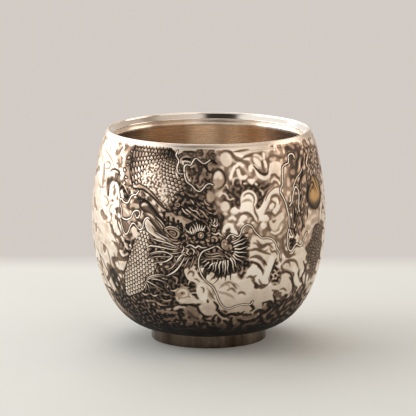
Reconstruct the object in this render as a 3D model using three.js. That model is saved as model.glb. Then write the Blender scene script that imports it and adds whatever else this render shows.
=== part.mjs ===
// A tea cup of silver over porcelain: a turned porcelain bowl with a chased silver skin outside,
// a brushed silver liner inside, a polished lip band, a foot band and a disc that closes the foot.
// Millimetres, +Z up, origin at the centre of the foot, where the cup stands on the table.
import * as THREE from "three";

// Outer form, from the table up
const footRadius = 19.2;
const footHeight = 4;
const bellyRadius = 39;
const bellyHeight = 40.8;
const lipRadius = 33.8; // outer edge of the lip
const lipHeight = 70.8; // crest of the lip

// How far each end of the two side curves runs on before it bends
const underReach = 13.9;
const hipReach = 15.8;
const shoulderReach = 9.3;
const neckReach = 6.4;
const underSlope = THREE.MathUtils.degToRad(4.2); // rise of the underside where it leaves the foot
const lipLean = THREE.MathUtils.degToRad(30); // lean of the wall towards the mouth, at the lip

// Walls
const wall = 3.8; // skin, porcelain and liner together
const skinThickness = 0.8;
const linerThickness = 0.6;
const bond = 0.3; // cement film between curved faces

// Lip band
const bandHeight = 2.2;
const lipWidth = 2.1; // from the outer edge to the inner wall, seen from above
const crestWidth = 0.8; // rounded top of the band, outside the bevel
const crestDrop = 0.4; // height of that rounding
const bevelFoot = 0.3; // plain wall of the band below the bevel

// Foot band, a channel folded round the porcelain foot ring
const footBandThickness = 0.6;
const footBandWidth = 4; // from its outer wall to its inner wall
const footEdge = 0.3; // chamfer of the edges on the table
const discRise = 2.2; // underside of the disc above the table
const discThickness = 0.7;

// Fineness of the turned surfaces
const aroundSteps = 64;
const hipSteps = 8;
const shoulderSteps = 6;
const bandSteps = 3;
const crestSteps = 3;
const halvings = 40;

const seamHeight = lipHeight - bandHeight;
const lipInnerRadius = lipRadius - lipWidth;
const footInnerRadius = footRadius - footBandWidth;
const porcelainBase = discRise + discThickness;

const at = (radius, height) => new THREE.Vector2(radius, height);

// The outer side below the belly, from the foot out and up.
function hipCurve() {
  return new THREE.CubicBezierCurve(
    at(footRadius, footHeight),
    at(footRadius + underReach * Math.cos(underSlope), footHeight + underReach * Math.sin(underSlope)),
    at(bellyRadius, bellyHeight - hipReach),
    at(bellyRadius, bellyHeight),
  );
}

// The outer side above the belly, up to the edge of the lip.
function shoulderCurve() {
  const edge = at(lipRadius, lipHeight - crestDrop);
  return new THREE.CubicBezierCurve(
    at(bellyRadius, bellyHeight),
    at(bellyRadius, bellyHeight + shoulderReach),
    at(edge.x + neckReach * Math.sin(lipLean), edge.y - neckReach * Math.cos(lipLean)),
    edge,
  );
}

// Where a rising curve crosses a height, found by halving.
function crossing(curve, height) {
  let low = 0;
  let high = 1;
  for (let step = 0; step < halvings; step++) {
    const middle = (low + high) / 2;
    if (curve.getPoint(middle).y < height) low = middle;
    else high = middle;
  }
  return low;
}

// A point of a curve moved square to it, into the wall.
function sunk(curve, t, depth) {
  const point = curve.getPoint(t);
  const tangent = curve.getTangent(t);
  return at(point.x - tangent.y * depth, point.y + tangent.x * depth);
}

// The side at a depth under the outer face, from the foot up to the seam under the lip band,
// where the wall has narrowed to the band's width.
function side(depth) {
  const hip = hipCurve();
  const shoulder = shoulderCurve();
  const seam = crossing(shoulder, seamHeight);
  const seamRadius = shoulder.getPoint(seam).x;
  const narrowing = (seamRadius - lipInnerRadius) / wall;
  const points = [];
  for (let i = 0; i < hipSteps; i++) points.push(sunk(hip, i / hipSteps, depth));
  for (let i = 0; i < shoulderSteps; i++) points.push(sunk(shoulder, (seam * i) / shoulderSteps, depth));
  points.push(at(seamRadius - depth * narrowing, seamHeight));
  return points;
}

// The wall between two depths, as an outline that runs up outside and down inside.
function wallBetween(outerDepth, innerDepth) {
  return [...side(outerDepth), ...side(innerDepth).reverse()];
}

// Turns an outline that closes on itself, or starts and ends on the axis, into a solid.
function turned(name, outline, material) {
  const geometry = new THREE.LatheGeometry(outline, aroundSteps);
  geometry.rotateX(Math.PI / 2);
  const mesh = new THREE.Mesh(geometry, material);
  mesh.name = name;
  return mesh;
}

const closed = (outline) => [...outline, outline[0].clone()];

const metal = (color, roughness) => new THREE.MeshStandardMaterial({ color, roughness, metalness: 1 });
const chasedSilver = metal(0xa89a88, 0.35);
const polishedSilver = metal(0xe6ddd0, 0.12);
const brushedSilver = metal(0xc9b7a0, 0.3);
const porcelain = new THREE.MeshStandardMaterial({ color: 0xece8df, roughness: 0.6, metalness: 0 });

// Silver skin that holds the chased relief; its hem stands on the foot band.
function chasedSkin() {
  const outline = wallBetween(0, skinThickness);
  const hem = footRadius - footBandThickness;
  outline.unshift(at(hem, footHeight));
  outline.push(at(hem, footHeight + skinThickness));
  return turned("chased_skin", closed(outline), chasedSilver);
}

// Porcelain bowl with a solid floor and a foot ring that stands in the foot band.
function porcelainBowl() {
  const outline = wallBetween(skinThickness + bond, wall - linerThickness - bond);
  const ringOuter = footRadius - footBandThickness - bond;
  const ringInner = footInnerRadius + footBandThickness + bond;
  outline.unshift(
    at(0, porcelainBase),
    at(ringInner, porcelainBase),
    at(ringInner, footBandThickness),
    at(ringOuter, footBandThickness),
    at(ringOuter, outline[0].y),
  );
  outline.push(at(0, outline[outline.length - 1].y));
  return turned("porcelain_bowl", outline, porcelain);
}

function innerLiner() {
  const outline = wallBetween(wall - linerThickness, wall);
  outline.unshift(at(0, outline[0].y));
  outline.push(at(0, outline[outline.length - 1].y));
  return turned("inner_liner", outline, brushedSilver);
}

// Solid lip: the side curve outside, a rounded crest and a bevel down to the liner.
function lipBand() {
  const shoulder = shoulderCurve();
  const seam = crossing(shoulder, seamHeight);
  const crestRadius = lipRadius - crestWidth / 2;
  const bevelTop = at(lipRadius - crestWidth, lipHeight - crestDrop);
  const outline = [at(lipInnerRadius, seamHeight)];
  for (let i = 0; i <= bandSteps; i++) outline.push(shoulder.getPoint(seam + ((1 - seam) * i) / bandSteps));
  const outerCrest = new THREE.QuadraticBezierCurve(
    at(lipRadius, lipHeight - crestDrop),
    at(lipRadius, lipHeight),
    at(crestRadius, lipHeight),
  );
  const innerCrest = new THREE.QuadraticBezierCurve(
    at(crestRadius, lipHeight),
    at(bevelTop.x, lipHeight),
    bevelTop,
  );
  outline.push(...outerCrest.getPoints(crestSteps).slice(1), ...innerCrest.getPoints(crestSteps).slice(1));
  outline.push(at(lipInnerRadius, seamHeight + bevelFoot));
  return turned("lip_band", closed(outline), polishedSilver);
}

function footBand() {
  const thickness = footBandThickness;
  const outline = [
    at(footInnerRadius + footEdge, 0),
    at(footRadius - footEdge, 0),
    at(footRadius, footEdge),
    at(footRadius, footHeight),
    at(footRadius - thickness, footHeight),
    at(footRadius - thickness, thickness),
    at(footInnerRadius + thickness, thickness),
    at(footInnerRadius + thickness, porcelainBase),
    at(footInnerRadius, porcelainBase),
    at(footInnerRadius, footEdge),
  ];
  return turned("foot_band", closed(outline), polishedSilver);
}

// Closes the hollow of the foot, flat against the porcelain.
function baseDisc() {
  const rim = footInnerRadius - bond;
  const outline = [at(0, discRise), at(rim, discRise), at(rim, porcelainBase), at(0, porcelainBase)];
  return turned("base_disc", outline, polishedSilver);
}

const cup = new THREE.Group();
cup.add(porcelainBowl(), chasedSkin(), innerLiner(), lipBand(), footBand(), baseDisc());
export default cup;
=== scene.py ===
import math

import bpy
import numpy as np
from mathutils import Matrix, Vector


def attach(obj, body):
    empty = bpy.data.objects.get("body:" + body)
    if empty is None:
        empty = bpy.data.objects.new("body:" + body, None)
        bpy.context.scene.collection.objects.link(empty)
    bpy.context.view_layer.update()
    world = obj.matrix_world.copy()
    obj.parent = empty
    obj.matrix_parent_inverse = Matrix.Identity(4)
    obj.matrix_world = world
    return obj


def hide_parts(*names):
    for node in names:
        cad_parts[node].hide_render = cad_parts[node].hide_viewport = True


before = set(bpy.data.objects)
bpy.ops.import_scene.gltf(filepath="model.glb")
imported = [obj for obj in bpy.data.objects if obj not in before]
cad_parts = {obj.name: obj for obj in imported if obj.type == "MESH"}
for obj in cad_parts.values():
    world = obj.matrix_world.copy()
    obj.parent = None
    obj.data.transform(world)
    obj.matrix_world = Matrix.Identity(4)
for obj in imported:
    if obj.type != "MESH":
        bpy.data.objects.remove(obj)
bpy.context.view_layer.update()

MM = 0.001

# Outer form in millimetres, as the solids have it
FOOT_RADIUS = 19.2
FOOT_HEIGHT = 4.0
BELLY_RADIUS = 39.0
BELLY_HEIGHT = 40.8
LIP_RADIUS = 33.8
LIP_HEIGHT = 70.8
BAND_HEIGHT = 2.2
CREST_DROP = 0.4
UNDER_REACH = 13.9
HIP_REACH = 15.8
SHOULDER_REACH = 9.3
NECK_REACH = 6.4
UNDER_SLOPE = math.radians(4.2)
LIP_LEAN = math.radians(30)

# The photograph's view
VIEW_RISE = math.radians(11.0)
VIEW_DISTANCE = 1150.0
AIM_HEIGHT = 35.0
BELLY_HALF_WIDTH_PX = 116.7
AXIS_PX = 208.7
AIM_PX = 233.65
FOCAL_PX = BELLY_HALF_WIDTH_PX / BELLY_RADIUS * VIEW_DISTANCE

# Canvas: points round the cup, and rows of points from the foot to the seam under the lip
COLUMNS = 1440
SEAM_ROWS = 440

# Points of each curve of the outer side, and the usual step of a drawn line in millimetres
CURVE_POINTS = 600
CURVE_STEP = 0.45
# Lengths before and behind the axis, in millimetres, where a line of sight is searched for the cup's side
SEARCH_FROM, SEARCH_TO, SEARCH_STEPS = -60, 20, 400
FAR = 1e3
TINY = 1e-12
# Noise in space: directions before it repeats, and the gain that brings it to about -1 to 1
NOISE_CELLS = 256
NOISE_GAIN = 1.8


def bezier(points, count):
    """Points of a curve with two ends and two guides."""
    t = np.linspace(0, 1, count)[:, None]
    a, b, c, d = (np.array(p, float) for p in points)
    return (1 - t) ** 3 * a + 3 * (1 - t) ** 2 * t * b + 3 * (1 - t) * t * t * c + t ** 3 * d


def outer_side():
    """Radius and height along the whole outer side, from the foot to the edge of the lip."""
    out, up = UNDER_REACH * math.cos(UNDER_SLOPE), UNDER_REACH * math.sin(UNDER_SLOPE)
    hip = bezier([
        (FOOT_RADIUS, FOOT_HEIGHT),
        (FOOT_RADIUS + out, FOOT_HEIGHT + up),
        (BELLY_RADIUS, BELLY_HEIGHT - HIP_REACH),
        (BELLY_RADIUS, BELLY_HEIGHT),
    ], CURVE_POINTS)
    edge = (LIP_RADIUS, LIP_HEIGHT - CREST_DROP)
    shoulder = bezier([
        (BELLY_RADIUS, BELLY_HEIGHT),
        (BELLY_RADIUS, BELLY_HEIGHT + SHOULDER_REACH),
        (edge[0] + NECK_REACH * math.sin(LIP_LEAN), edge[1] - NECK_REACH * math.cos(LIP_LEAN)),
        edge,
    ], CURVE_POINTS)
    return np.vstack([hip, shoulder[1:]])


SIDE = outer_side()
SEAM_HEIGHT = LIP_HEIGHT - BAND_HEIGHT
side_arc = np.concatenate([[0], np.cumsum(np.hypot(*np.diff(SIDE, axis=0).T))])
SEAM_LENGTH = float(np.interp(SEAM_HEIGHT, SIDE[:, 1], side_arc))
ROW_STEP = SEAM_LENGTH / (SEAM_ROWS - 1)
ROWS = int(side_arc[-1] / ROW_STEP) + 1
SIDE_LENGTH = (ROWS - 1) * ROW_STEP
ARC = np.arange(ROWS) * ROW_STEP
RADIUS = np.interp(ARC, side_arc, SIDE[:, 0])
HEIGHT = np.interp(ARC, side_arc, SIDE[:, 1])
ANGLE = np.linspace(-math.pi, math.pi, COLUMNS, endpoint=False)
CELL = 2 * math.pi / COLUMNS


def on_cup(pixels):
    """Angle round the cup and distance up its side under pixels of the photograph."""
    pixels = np.array(pixels, float).reshape(-1, 2)
    sine, cosine = math.sin(VIEW_RISE), math.cos(VIEW_RISE)
    across = (pixels[:, 0] - AXIS_PX) / FOCAL_PX
    up = (AIM_PX - pixels[:, 1]) / FOCAL_PX
    t = VIEW_DISTANCE + np.linspace(SEARCH_FROM, SEARCH_TO, SEARCH_STEPS)[:, None]
    x = t * across
    y = -VIEW_DISTANCE * cosine + t * (cosine + up * sine)
    z = AIM_HEIGHT + VIEW_DISTANCE * sine + t * (-sine + up * cosine)
    clear = np.hypot(x, y) - np.interp(z, SIDE[:, 1], SIDE[:, 0], left=0, right=0)
    hit = np.argmax(clear < 0, axis=0)
    hit = np.where((clear < 0).any(axis=0), hit, np.argmin(clear, axis=0))
    pick = (hit, np.arange(len(pixels)))
    z_hit = np.clip(z[pick], FOOT_HEIGHT, SIDE[-1, 1])
    return np.stack([np.arctan2(x[pick], -y[pick]), np.interp(z_hit, SIDE[:, 1], side_arc)], axis=1)


def smooth(places, step=CURVE_STEP, closed=False):
    """A soft curve through places on the canvas, in steps of about so many millimetres."""
    p = np.array(places, float)
    if closed:
        p = np.vstack([p[-1], p, p[:2]])
    else:
        p = np.vstack([2 * p[0] - p[1], p, 2 * p[-1] - p[-2]])
    out = []
    for a, b, c, d in zip(p[:-3], p[1:-2], p[2:-1], p[3:]):
        radius = np.interp(b[1], ARC, RADIUS)
        length = math.hypot((c[0] - b[0]) * radius, c[1] - b[1])
        count = max(1, int(math.ceil(length / step)))
        t = np.arange(count)[:, None] / count
        square, cube = (2 * a - 5 * b + 4 * c - d) * t ** 2, (3 * b - a - 3 * c + d) * t ** 3
        out.append(0.5 * (2 * b + (c - a) * t + square + cube))
    out.append(p[-2][None])
    return np.vstack(out)


def line(pixels, closed=False, place=on_cup):
    """A soft curve through pixels, or through whatever points the place function takes."""
    return smooth(place(pixels), closed=closed)


def carried(turn, lift, mirror):
    """A place function for the front's drawing turned by some degrees, lifted and perhaps mirrored."""

    def place(pixels):
        spots = on_cup(pixels)
        return np.stack([spots[:, 0] * mirror + math.radians(turn), spots[:, 1] + lift], axis=1)

    return place


def all_round(points):
    """Places from degrees round the cup, from the front to the right, and millimetres up its side."""
    points = np.array(points, float).reshape(-1, 2)
    return np.stack([np.radians(points[:, 0]), points[:, 1]], axis=1)


def window(places, reach):
    """Rows and columns of the canvas round some places, out to a reach."""
    low, high = places.min(axis=0), places.max(axis=0)
    first = int(np.clip((low[1] - reach) / ROW_STEP, 0, ROWS - 2))
    last = int(np.clip((high[1] + reach) / ROW_STEP + 2, first + 2, ROWS))
    radius = RADIUS[first:last].min()
    left = int((low[0] - reach / radius + math.pi) / CELL)
    right = int((high[0] + reach / radius + math.pi) / CELL) + 2
    return np.arange(first, last), np.arange(left, right)


def distance_to(path, reach):
    """Distance to a path, length along it and side of it, on the part of the canvas around it."""
    rows, columns = window(path, reach)
    far = np.full((len(rows), len(columns)), FAR)
    along = np.zeros_like(far)
    side = np.ones_like(far)
    radius = RADIUS[np.clip((path[:, 1] / ROW_STEP).astype(int), 0, ROWS - 1)]
    mean = 0.5 * (radius[1:] + radius[:-1])
    lengths = np.hypot(np.diff(path[:, 0]) * mean, np.diff(path[:, 1]))
    starts = np.concatenate([[0], np.cumsum(lengths)])
    for i in range(len(path) - 1):
        a, b = path[i], path[i + 1]
        sub_rows, sub_columns = window(path[i:i + 2], reach)
        r0, r1 = sub_rows[0] - rows[0], sub_rows[-1] + 1 - rows[0]
        c0, c1 = sub_columns[0] - columns[0], sub_columns[-1] + 1 - columns[0]
        c0, r0 = max(c0, 0), max(r0, 0)
        scale = RADIUS[rows[r0:r1]][:, None]
        x = (columns[c0:c1] * CELL - math.pi - a[0])[None, :] * scale
        y = (ARC[rows[r0:r1]] - a[1])[:, None]
        dx = (b[0] - a[0]) * mean[i]
        dy = b[1] - a[1]
        square = dx * dx + dy * dy + TINY
        t = np.clip((x * dx + y * dy) / square, 0, 1)
        d = np.hypot(x - t * dx, y - t * dy)
        nearer = d < far[r0:r1, c0:c1]
        far[r0:r1, c0:c1][nearer] = d[nearer]
        along[r0:r1, c0:c1][nearer] = (starts[i] + t * lengths[i])[nearer]
        side[r0:r1, c0:c1][nearer] = np.sign(dx * y - dy * x)[nearer]
    return (rows, columns), far, along, side


def inside(path, spot):
    """Which places of a part of the canvas lie inside a closed path."""
    rows, columns = spot
    x = (columns * CELL - math.pi)[None, :]
    y = ARC[rows][:, None]
    odd = np.zeros((len(rows), len(columns)), bool)
    for a, b in zip(path, np.roll(path, -1, axis=0)):
        if a[1] == b[1]:
            continue
        crosses = (a[1] > y) != (b[1] > y)
        odd ^= crosses & (x < (b[0] - a[0]) * (y - a[1]) / (b[1] - a[1]) + a[0])
    return odd


def step(low, high, value):
    """Soft step from 0 at low to 1 at high."""
    t = np.clip((value - low) / (high - low), 0, 1)
    return t * t * (3 - 2 * t)


def cells(spot):
    """Index of a part of the canvas, whose columns may run past its seam."""
    return np.ix_(spot[0], spot[1] % COLUMNS)


def gradient_noise(points, seed):
    """Smooth noise in space, about -1 to 1, for an array of points (..., 3)."""
    rng = np.random.default_rng(seed)
    order = rng.permutation(NOISE_CELLS)
    order = np.concatenate([order, order, order])
    directions = rng.normal(size=(NOISE_CELLS, 3))
    directions /= np.linalg.norm(directions, axis=1)[:, None]
    base = np.floor(points).astype(int)
    part = points - base
    fade = part ** 3 * (part * (part * 6 - 15) + 10)
    total = 0
    for dx in (0, 1):
        for dy in (0, 1):
            for dz in (0, 1):
                key = order[(base[..., 0] + dx) % NOISE_CELLS]
                key = order[key + (base[..., 1] + dy) % NOISE_CELLS]
                key = order[key + (base[..., 2] + dz) % NOISE_CELLS]
                d = directions[key]
                offset = part - np.array([dx, dy, dz])
                dot = (d * offset).sum(axis=-1)
                wx = fade[..., 0] if dx else 1 - fade[..., 0]
                wy = fade[..., 1] if dy else 1 - fade[..., 1]
                wz = fade[..., 2] if dz else 1 - fade[..., 2]
                total = total + dot * wx * wy * wz
    return total * NOISE_GAIN


# Levels of the relief, from the raised work down to the deepest ground
BRIGHT, CREAM, TAN, OCHRE, BROWN, DARK, BLACK = 0.0, -0.06, -0.16, -0.21, -0.27, -0.4, -0.52

# Softness of edges, in millimetres
SOFT = 0.1
HAIR_SOFT, FINE_SOFT, STROKE_SOFT = 0.08, 0.12, 0.16
GROUND_SOFT, NARROW_SOFT, WIDE_SOFT = 0.8, 0.3, 1.2
# Sunk line on both sides of a raised one, in millimetres
RIDGE_MOAT, NARROW_MOAT = 0.22, 0.2
# Shapes of strokes: what a tip loses, what is left of both ends, and how full the middle is
TIP_LOSS = 0.85
END_SHARE = 0.25
SPINDLE_POWER = 0.7

# Second wave of a lopsided circle, as a share of its first
SECOND_WAVE = 0.6

# Scales: rise of the rim, hollow behind it, rise of the bed under it, and the sunk line beside the band
SCALE_HALF = 0.53
SCALE_REACH = 0.6
RIM_FROM, RIM_TO = 0.08, 0.28
HOLLOW, HOLLOW_FROM, HOLLOW_TO = 0.35, 0.3, 0.8
BED_FROM, BED_TO = 0.05, 0.25
MOAT_FROM, MOAT_TO = 0.2, 0.45
BAND_SOFT = 0.12
SCALE_TONES, TONE_SPREAD, TONE_SHARE = 64, 0.12, 0.4
ROW_TURN, COLUMN_TURN = 7, 3


def even(share):
    """The same width all along."""
    return np.ones_like(share)


def pointed(share):
    """Full at the root and thin at the tip."""
    return 1 - TIP_LOSS * share


def spindle(share):
    """Thin at both ends."""
    return END_SHARE + (1 - END_SHARE) * np.sin(math.pi * np.clip(share, 0, 1)) ** SPINDLE_POWER


def shares(along):
    """Lengths along a path as shares of its whole length."""
    return along / max(along.max(), TINY)


def ridge(relief, path, half, top, moat, low=BLACK, shape=even, soft=SOFT):
    """A raised line with a sunk line on both sides."""
    spot, away, along, _ = distance_to(path, half + moat + 2 * soft)
    reach = half * shape(shares(along))
    part = relief[cells(spot)]
    sunk = 1 - step(reach + moat - soft, reach + moat + soft, away)
    part += (np.minimum(part, low) - part) * sunk
    raised = 1 - step(reach - soft, reach + soft, away)
    part += (top - part) * raised
    relief[cells(spot)] = part


def groove(relief, path, half, low, shape):
    """A sunk line."""
    spot, away, along, _ = distance_to(path, half + 2 * SOFT)
    reach = half * shape(shares(along))
    part = relief[cells(spot)]
    sunk = 1 - step(reach - SOFT, reach + SOFT, away)
    part += (np.minimum(part, low) - part) * sunk
    relief[cells(spot)] = part


def field_to(outline, reach):
    """Signed distance to a closed outline, below zero inside it."""
    spot, away, _, _ = distance_to(np.vstack([outline, outline[:1]]), reach)
    return spot, np.where(inside(outline, spot), -away, away)


def plate(relief, outline, level, moat, low=BLACK, sag=0.0, sag_width=1.0):
    """A raised flat shape with a sunk line round it; sag lowers its middle or, below zero, its edge."""
    spot, away = field_to(outline, max(moat + 2 * SOFT, sag_width))
    part = relief[cells(spot)]
    sunk = 1 - step(moat - SOFT, moat + SOFT, away)
    part += (np.minimum(part, low) - part) * sunk
    deep = np.clip(-away / sag_width, 0, 1)
    height = level - sag * step(0, 1, deep) if sag >= 0 else level + sag * (1 - step(0, 1, deep))
    raised = 1 - step(-SOFT, SOFT, away)
    part += (height - part) * raised
    relief[cells(spot)] = part


def plates(relief, table):
    """Draws a table of raised shapes: each row is its pixels and what plate takes after its outline."""
    for pixels, *form in table:
        plate(relief, line(pixels, closed=True), *form)


def area(relief, outline, level, soft):
    """Brings the inside of an outline to a level."""
    spot, away = field_to(outline, 2 * soft)
    part = relief[cells(spot)]
    part += (level - part) * (1 - step(-soft, soft, away))
    relief[cells(spot)] = part


def brush(relief, path, half, level, shape, soft):
    """Brings the relief to a level along a path."""
    spot, away, along, _ = distance_to(path, half + 2 * soft)
    reach = half * shape(shares(along))
    part = relief[cells(spot)]
    part += (level - part) * (1 - step(reach - soft, reach + soft, away))
    relief[cells(spot)] = part


def areas(relief, table, soft, place=on_cup):
    """Fills a table of outlines: each row is its level and its pixels."""
    for level, pixels in table:
        area(relief, line(pixels, closed=True, place=place), level, soft)


def strokes(relief, table, shape=spindle, soft=STROKE_SOFT, place=on_cup):
    """Draws a table of soft strokes: each row is its level, half width and pixels."""
    for level, half, pixels in table:
        brush(relief, line(pixels, place=place), half, level, shape, soft)


def ridges(relief, table, moat=RIDGE_MOAT, shape=spindle, soft=SOFT, place=on_cup):
    """Draws a table of raised lines between dark ones: each row is its level, half width and pixels."""
    for level, half, pixels in table:
        ridge(relief, line(pixels, place=place), half, level, moat, BLACK, shape, soft)


def round_outline(centre, radius_px, count, wobble=0.0):
    """A circle in pixels; wobble makes it lopsided."""
    x, y = centre
    turn = np.linspace(0, 2 * math.pi, count, endpoint=False)
    first, second = wobble * np.sin(2 * turn + x), SECOND_WAVE * wobble * np.sin(3 * turn + y)
    radius = radius_px * (1 + first + second)
    return line(np.stack([x + radius * np.cos(turn), y + radius * np.sin(turn)], axis=1), closed=True)


def scales(relief, path, halves, pitch, width, length, top, mid, shade, seed):
    """Overlapping scales on a band along a path, free edges towards its end; halves are half widths
    at even shares of its length."""
    spot, away, along, side = distance_to(path, max(halves) + SCALE_REACH)
    share = shares(along)
    half = np.interp(share, np.linspace(0, 1, len(halves)), halves)
    a = along / pitch
    b = side * away / (pitch * width)
    body = np.full(a.shape, BLACK)
    tones = np.random.default_rng(seed).uniform(-TONE_SPREAD, TONE_SPREAD, SCALE_TONES)
    for back in (0, 1, 2):
        row = np.floor(a) - back
        shift = 0.5 * (row % 2)
        column = np.round(b - shift) + shift
        tone = tones[(row * ROW_TURN + column * COLUMN_TURN).astype(int) % SCALE_TONES] * TONE_SHARE
        rim = 1 - np.hypot((a - row) / length, (b - column) / SCALE_HALF)
        crest = step(RIM_FROM, RIM_TO, rim) * (1 - HOLLOW * step(HOLLOW_FROM, HOLLOW_TO, rim))
        height = BLACK + (top + tone - BLACK) * crest
        height = np.maximum(height, BLACK + (mid - BLACK) * step(BED_FROM, BED_TO, rim))
        body = np.where(rim > 0, height, body)
    edge = (away / half) ** 2
    body = np.maximum(body - shade * edge, BLACK)
    part = relief[cells(spot)]
    sunk = 1 - step(half + MOAT_FROM, half + MOAT_TO, away)
    part += (np.minimum(part, BLACK) - part) * sunk
    mask = 1 - step(half - BAND_SOFT, half + BAND_SOFT, away)
    part += (body - part) * mask
    relief[cells(spot)] = part


def at_share(path, share):
    """Places at shares of a path's points."""
    return np.array([np.interp(share, np.linspace(0, 1, len(path)), path[:, i]) for i in (0, 1)]).T


# Growth of the scrolls: gain of each round, and the wider blur's reach as a multiple of the narrow one's
SCROLL_GAIN = 6.0
SCROLL_SPREAD = 1.7
# How far below the number of rows a looked-up row has to stay, so that it has a row above it
LAST_CELL = 1.001


def blur(field, reach, up_reach=None):
    """Soft blur over the cup by a reach in millimetres, or by another one up the side."""
    waves = np.arange(COLUMNS // 2 + 1)
    across = np.exp(-0.5 * (waves[None, :] * reach / RADIUS[:, None]) ** 2)
    field = np.fft.irfft(np.fft.rfft(field, axis=1) * across, COLUMNS, axis=1)
    mirrored = np.vstack([field, field[::-1]])
    waves = np.arange(ROWS + 1)[:, None] * math.pi / SIDE_LENGTH
    up = np.exp(-0.5 * (waves * (up_reach or reach)) ** 2)
    return np.fft.irfft(np.fft.rfft(mirrored, axis=0) * up, 2 * ROWS, axis=0)[:ROWS]


def scrolls(seed, cover, reach, rounds):
    """Grows rounded bands out of a rough field; more cover makes them wider and joins them."""
    field = np.random.default_rng(seed).standard_normal((ROWS, COLUMNS))
    for _ in range(rounds):
        field = np.tanh(SCROLL_GAIN * (blur(field, reach) - blur(field, reach * SCROLL_SPREAD) + cover))
    return field


def look_up(field, rows, columns):
    """Values of a field between its cells."""
    rows = np.clip(rows, 0, ROWS - LAST_CELL)
    r0, c0 = np.floor(rows).astype(int), np.floor(columns).astype(int)
    fr, fc = rows - r0, columns - c0
    low = field[r0, c0 % COLUMNS] * (1 - fc) + field[r0, (c0 + 1) % COLUMNS] * fc
    high = field[r0 + 1, c0 % COLUMNS] * (1 - fc) + field[r0 + 1, (c0 + 1) % COLUMNS] * fc
    return low * (1 - fr) + high * fr


def wander(reach, seed, skip=6):
    """Smooth noise over the cup, reckoned on every few rows and columns."""
    rows = np.arange(0, ROWS + skip, skip)
    radius = np.interp(rows * ROW_STEP, ARC, RADIUS)[:, None]
    height = np.interp(rows * ROW_STEP, ARC, HEIGHT)[:, None]
    angle = ANGLE[None, ::skip]
    points = np.stack(np.broadcast_arrays(radius * np.sin(angle), -radius * np.cos(angle), height), axis=-1)
    coarse = gradient_noise(points / reach, seed)
    row, column = np.arange(ROWS) / skip, np.arange(COLUMNS) / skip
    r0, c0 = np.floor(row).astype(int), np.floor(column).astype(int)
    fr, fc = (row - r0)[:, None], (column - c0)[None, :]
    c1 = (c0 + 1) % coarse.shape[1]
    low = coarse[np.ix_(r0, c0)] * (1 - fc) + coarse[np.ix_(r0, c1)] * fc
    high = coarse[np.ix_(r0 + 1, c0)] * (1 - fc) + coarse[np.ix_(r0 + 1, c1)] * fc
    return low * (1 - fr) + high * fr


def stirred(field, reach, push, seed):
    """A field pulled about by soft eddies."""
    rows = np.arange(ROWS)[:, None] + wander(reach, seed) * push / ROW_STEP
    columns = np.arange(COLUMNS)[None, :] + wander(reach, seed + 1) * push / (CELL * RADIUS[:, None])
    return look_up(field, rows, columns)


# Spots of more cover, shade, dull tops and fine scrolls: pixel, radius in millimetres, amount
# The three cover spots at the left edge (x 98 to 102) whiten the side where the left lamp's highlight falls:
# partly painted highlight
COVER_SPOTS = (
    (98, 165, 9.0, 0.12), (100, 205, 9.0, 0.14), (102, 245, 9.0, 0.12), (128, 150, 4.0, 0.06),
    (245, 292, 9.0, 0.12), (262, 225, 7.0, 0.05), (268, 250, 6.0, 0.06), (300, 262, 5.0, 0.06),
    (205, 172, 8.0, -0.05), (225, 195, 5.0, -0.04), (165, 290, 12.0, -0.06), (145, 305, 9.0, -0.04),
    (302, 190, 6.0, -0.06), (200, 210, 9.0, -0.05), (180, 250, 10.0, -0.05),
)
# The two shade spots below zero lighten the ground at the left edge: painted highlight of the left lamp
SHADE_SPOTS = (
    (205, 172, 9.0, 0.5), (200, 205, 10.0, 0.7), (180, 245, 12.0, 0.7), (150, 240, 8.0, 0.5),
    (165, 290, 13.0, 0.85), (140, 300, 10.0, 0.7), (215, 258, 10.0, 0.6), (238, 262, 6.0, 0.5),
    (303, 190, 7.0, 0.5), (300, 215, 5.0, 0.4), (205, 318, 10.0, 0.5), (285, 312, 10.0, 0.7),
    (250, 325, 10.0, 0.5), (136, 215, 6.0, 0.5), (175, 150, 4.0, 0.3), (313, 245, 5.0, 0.4),
    (170, 320, 12.0, 0.5), (98, 170, 12.0, -0.25), (98, 215, 12.0, -0.25),
)
DULL_SPOTS = (
    (205, 165, 8.0, 0.8), (222, 176, 6.0, 0.6), (230, 196, 5.0, 0.5), (210, 215, 9.0, 0.8),
    (165, 290, 12.0, 0.45), (145, 305, 9.0, 0.4), (200, 205, 9.0, 0.6), (300, 185, 7.0, 0.6),
    (303, 215, 6.0, 0.4), (315, 245, 6.0, 0.4), (205, 322, 9.0, 0.4), (285, 320, 9.0, 0.4),
    (245, 328, 8.0, 0.3), (290, 150, 7.0, 0.6),
)
FINE_SPOTS = (
    (205, 172, 9.0, 0.7), (225, 200, 7.0, 0.8), (165, 290, 12.0, 0.8), (150, 305, 10.0, 0.7),
    (300, 190, 8.0, 0.7),
    (205, 318, 9.0, 0.8), (285, 312, 9.0, 0.6), (150, 200, 12.0, 0.8), (200, 230, 12.0, 0.8),
    (313, 245, 6.0, 0.8),
)

# The broad field: all of the back, and a strip on the left, where its fuller cover whitens the side and so
# partly paints the left lamp's highlight
BLEND_FROM, BLEND_TO = math.radians(70), math.radians(95)
LEFT_STRIP = math.radians(-78)
LEFT_STRIP_HALF = math.radians(26)
STRIP_FULL = 0.6

# Scroll layers: seed, reach and rounds of growth, then reach, push and seed of the eddies, then softness
COARSE_LAYER = (3, 0.66, 14, (6.0, 2.4, 21), 0.2)
FINE_LAYER = (5, 0.34, 14, (4.0, 1.5, 31), 0.14)
BROAD_LAYER = (7, 0.95, 10, (7.0, 2.6, 41), 0.3)
COVER_NOISE, BROAD_NOISE = (9.0, 4), (6.0, 9)
COVER_WANDER, BACK_COVER = 0.05, 0.05
BROAD_COVER, BROAD_WANDER = 0.16, 0.1
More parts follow.
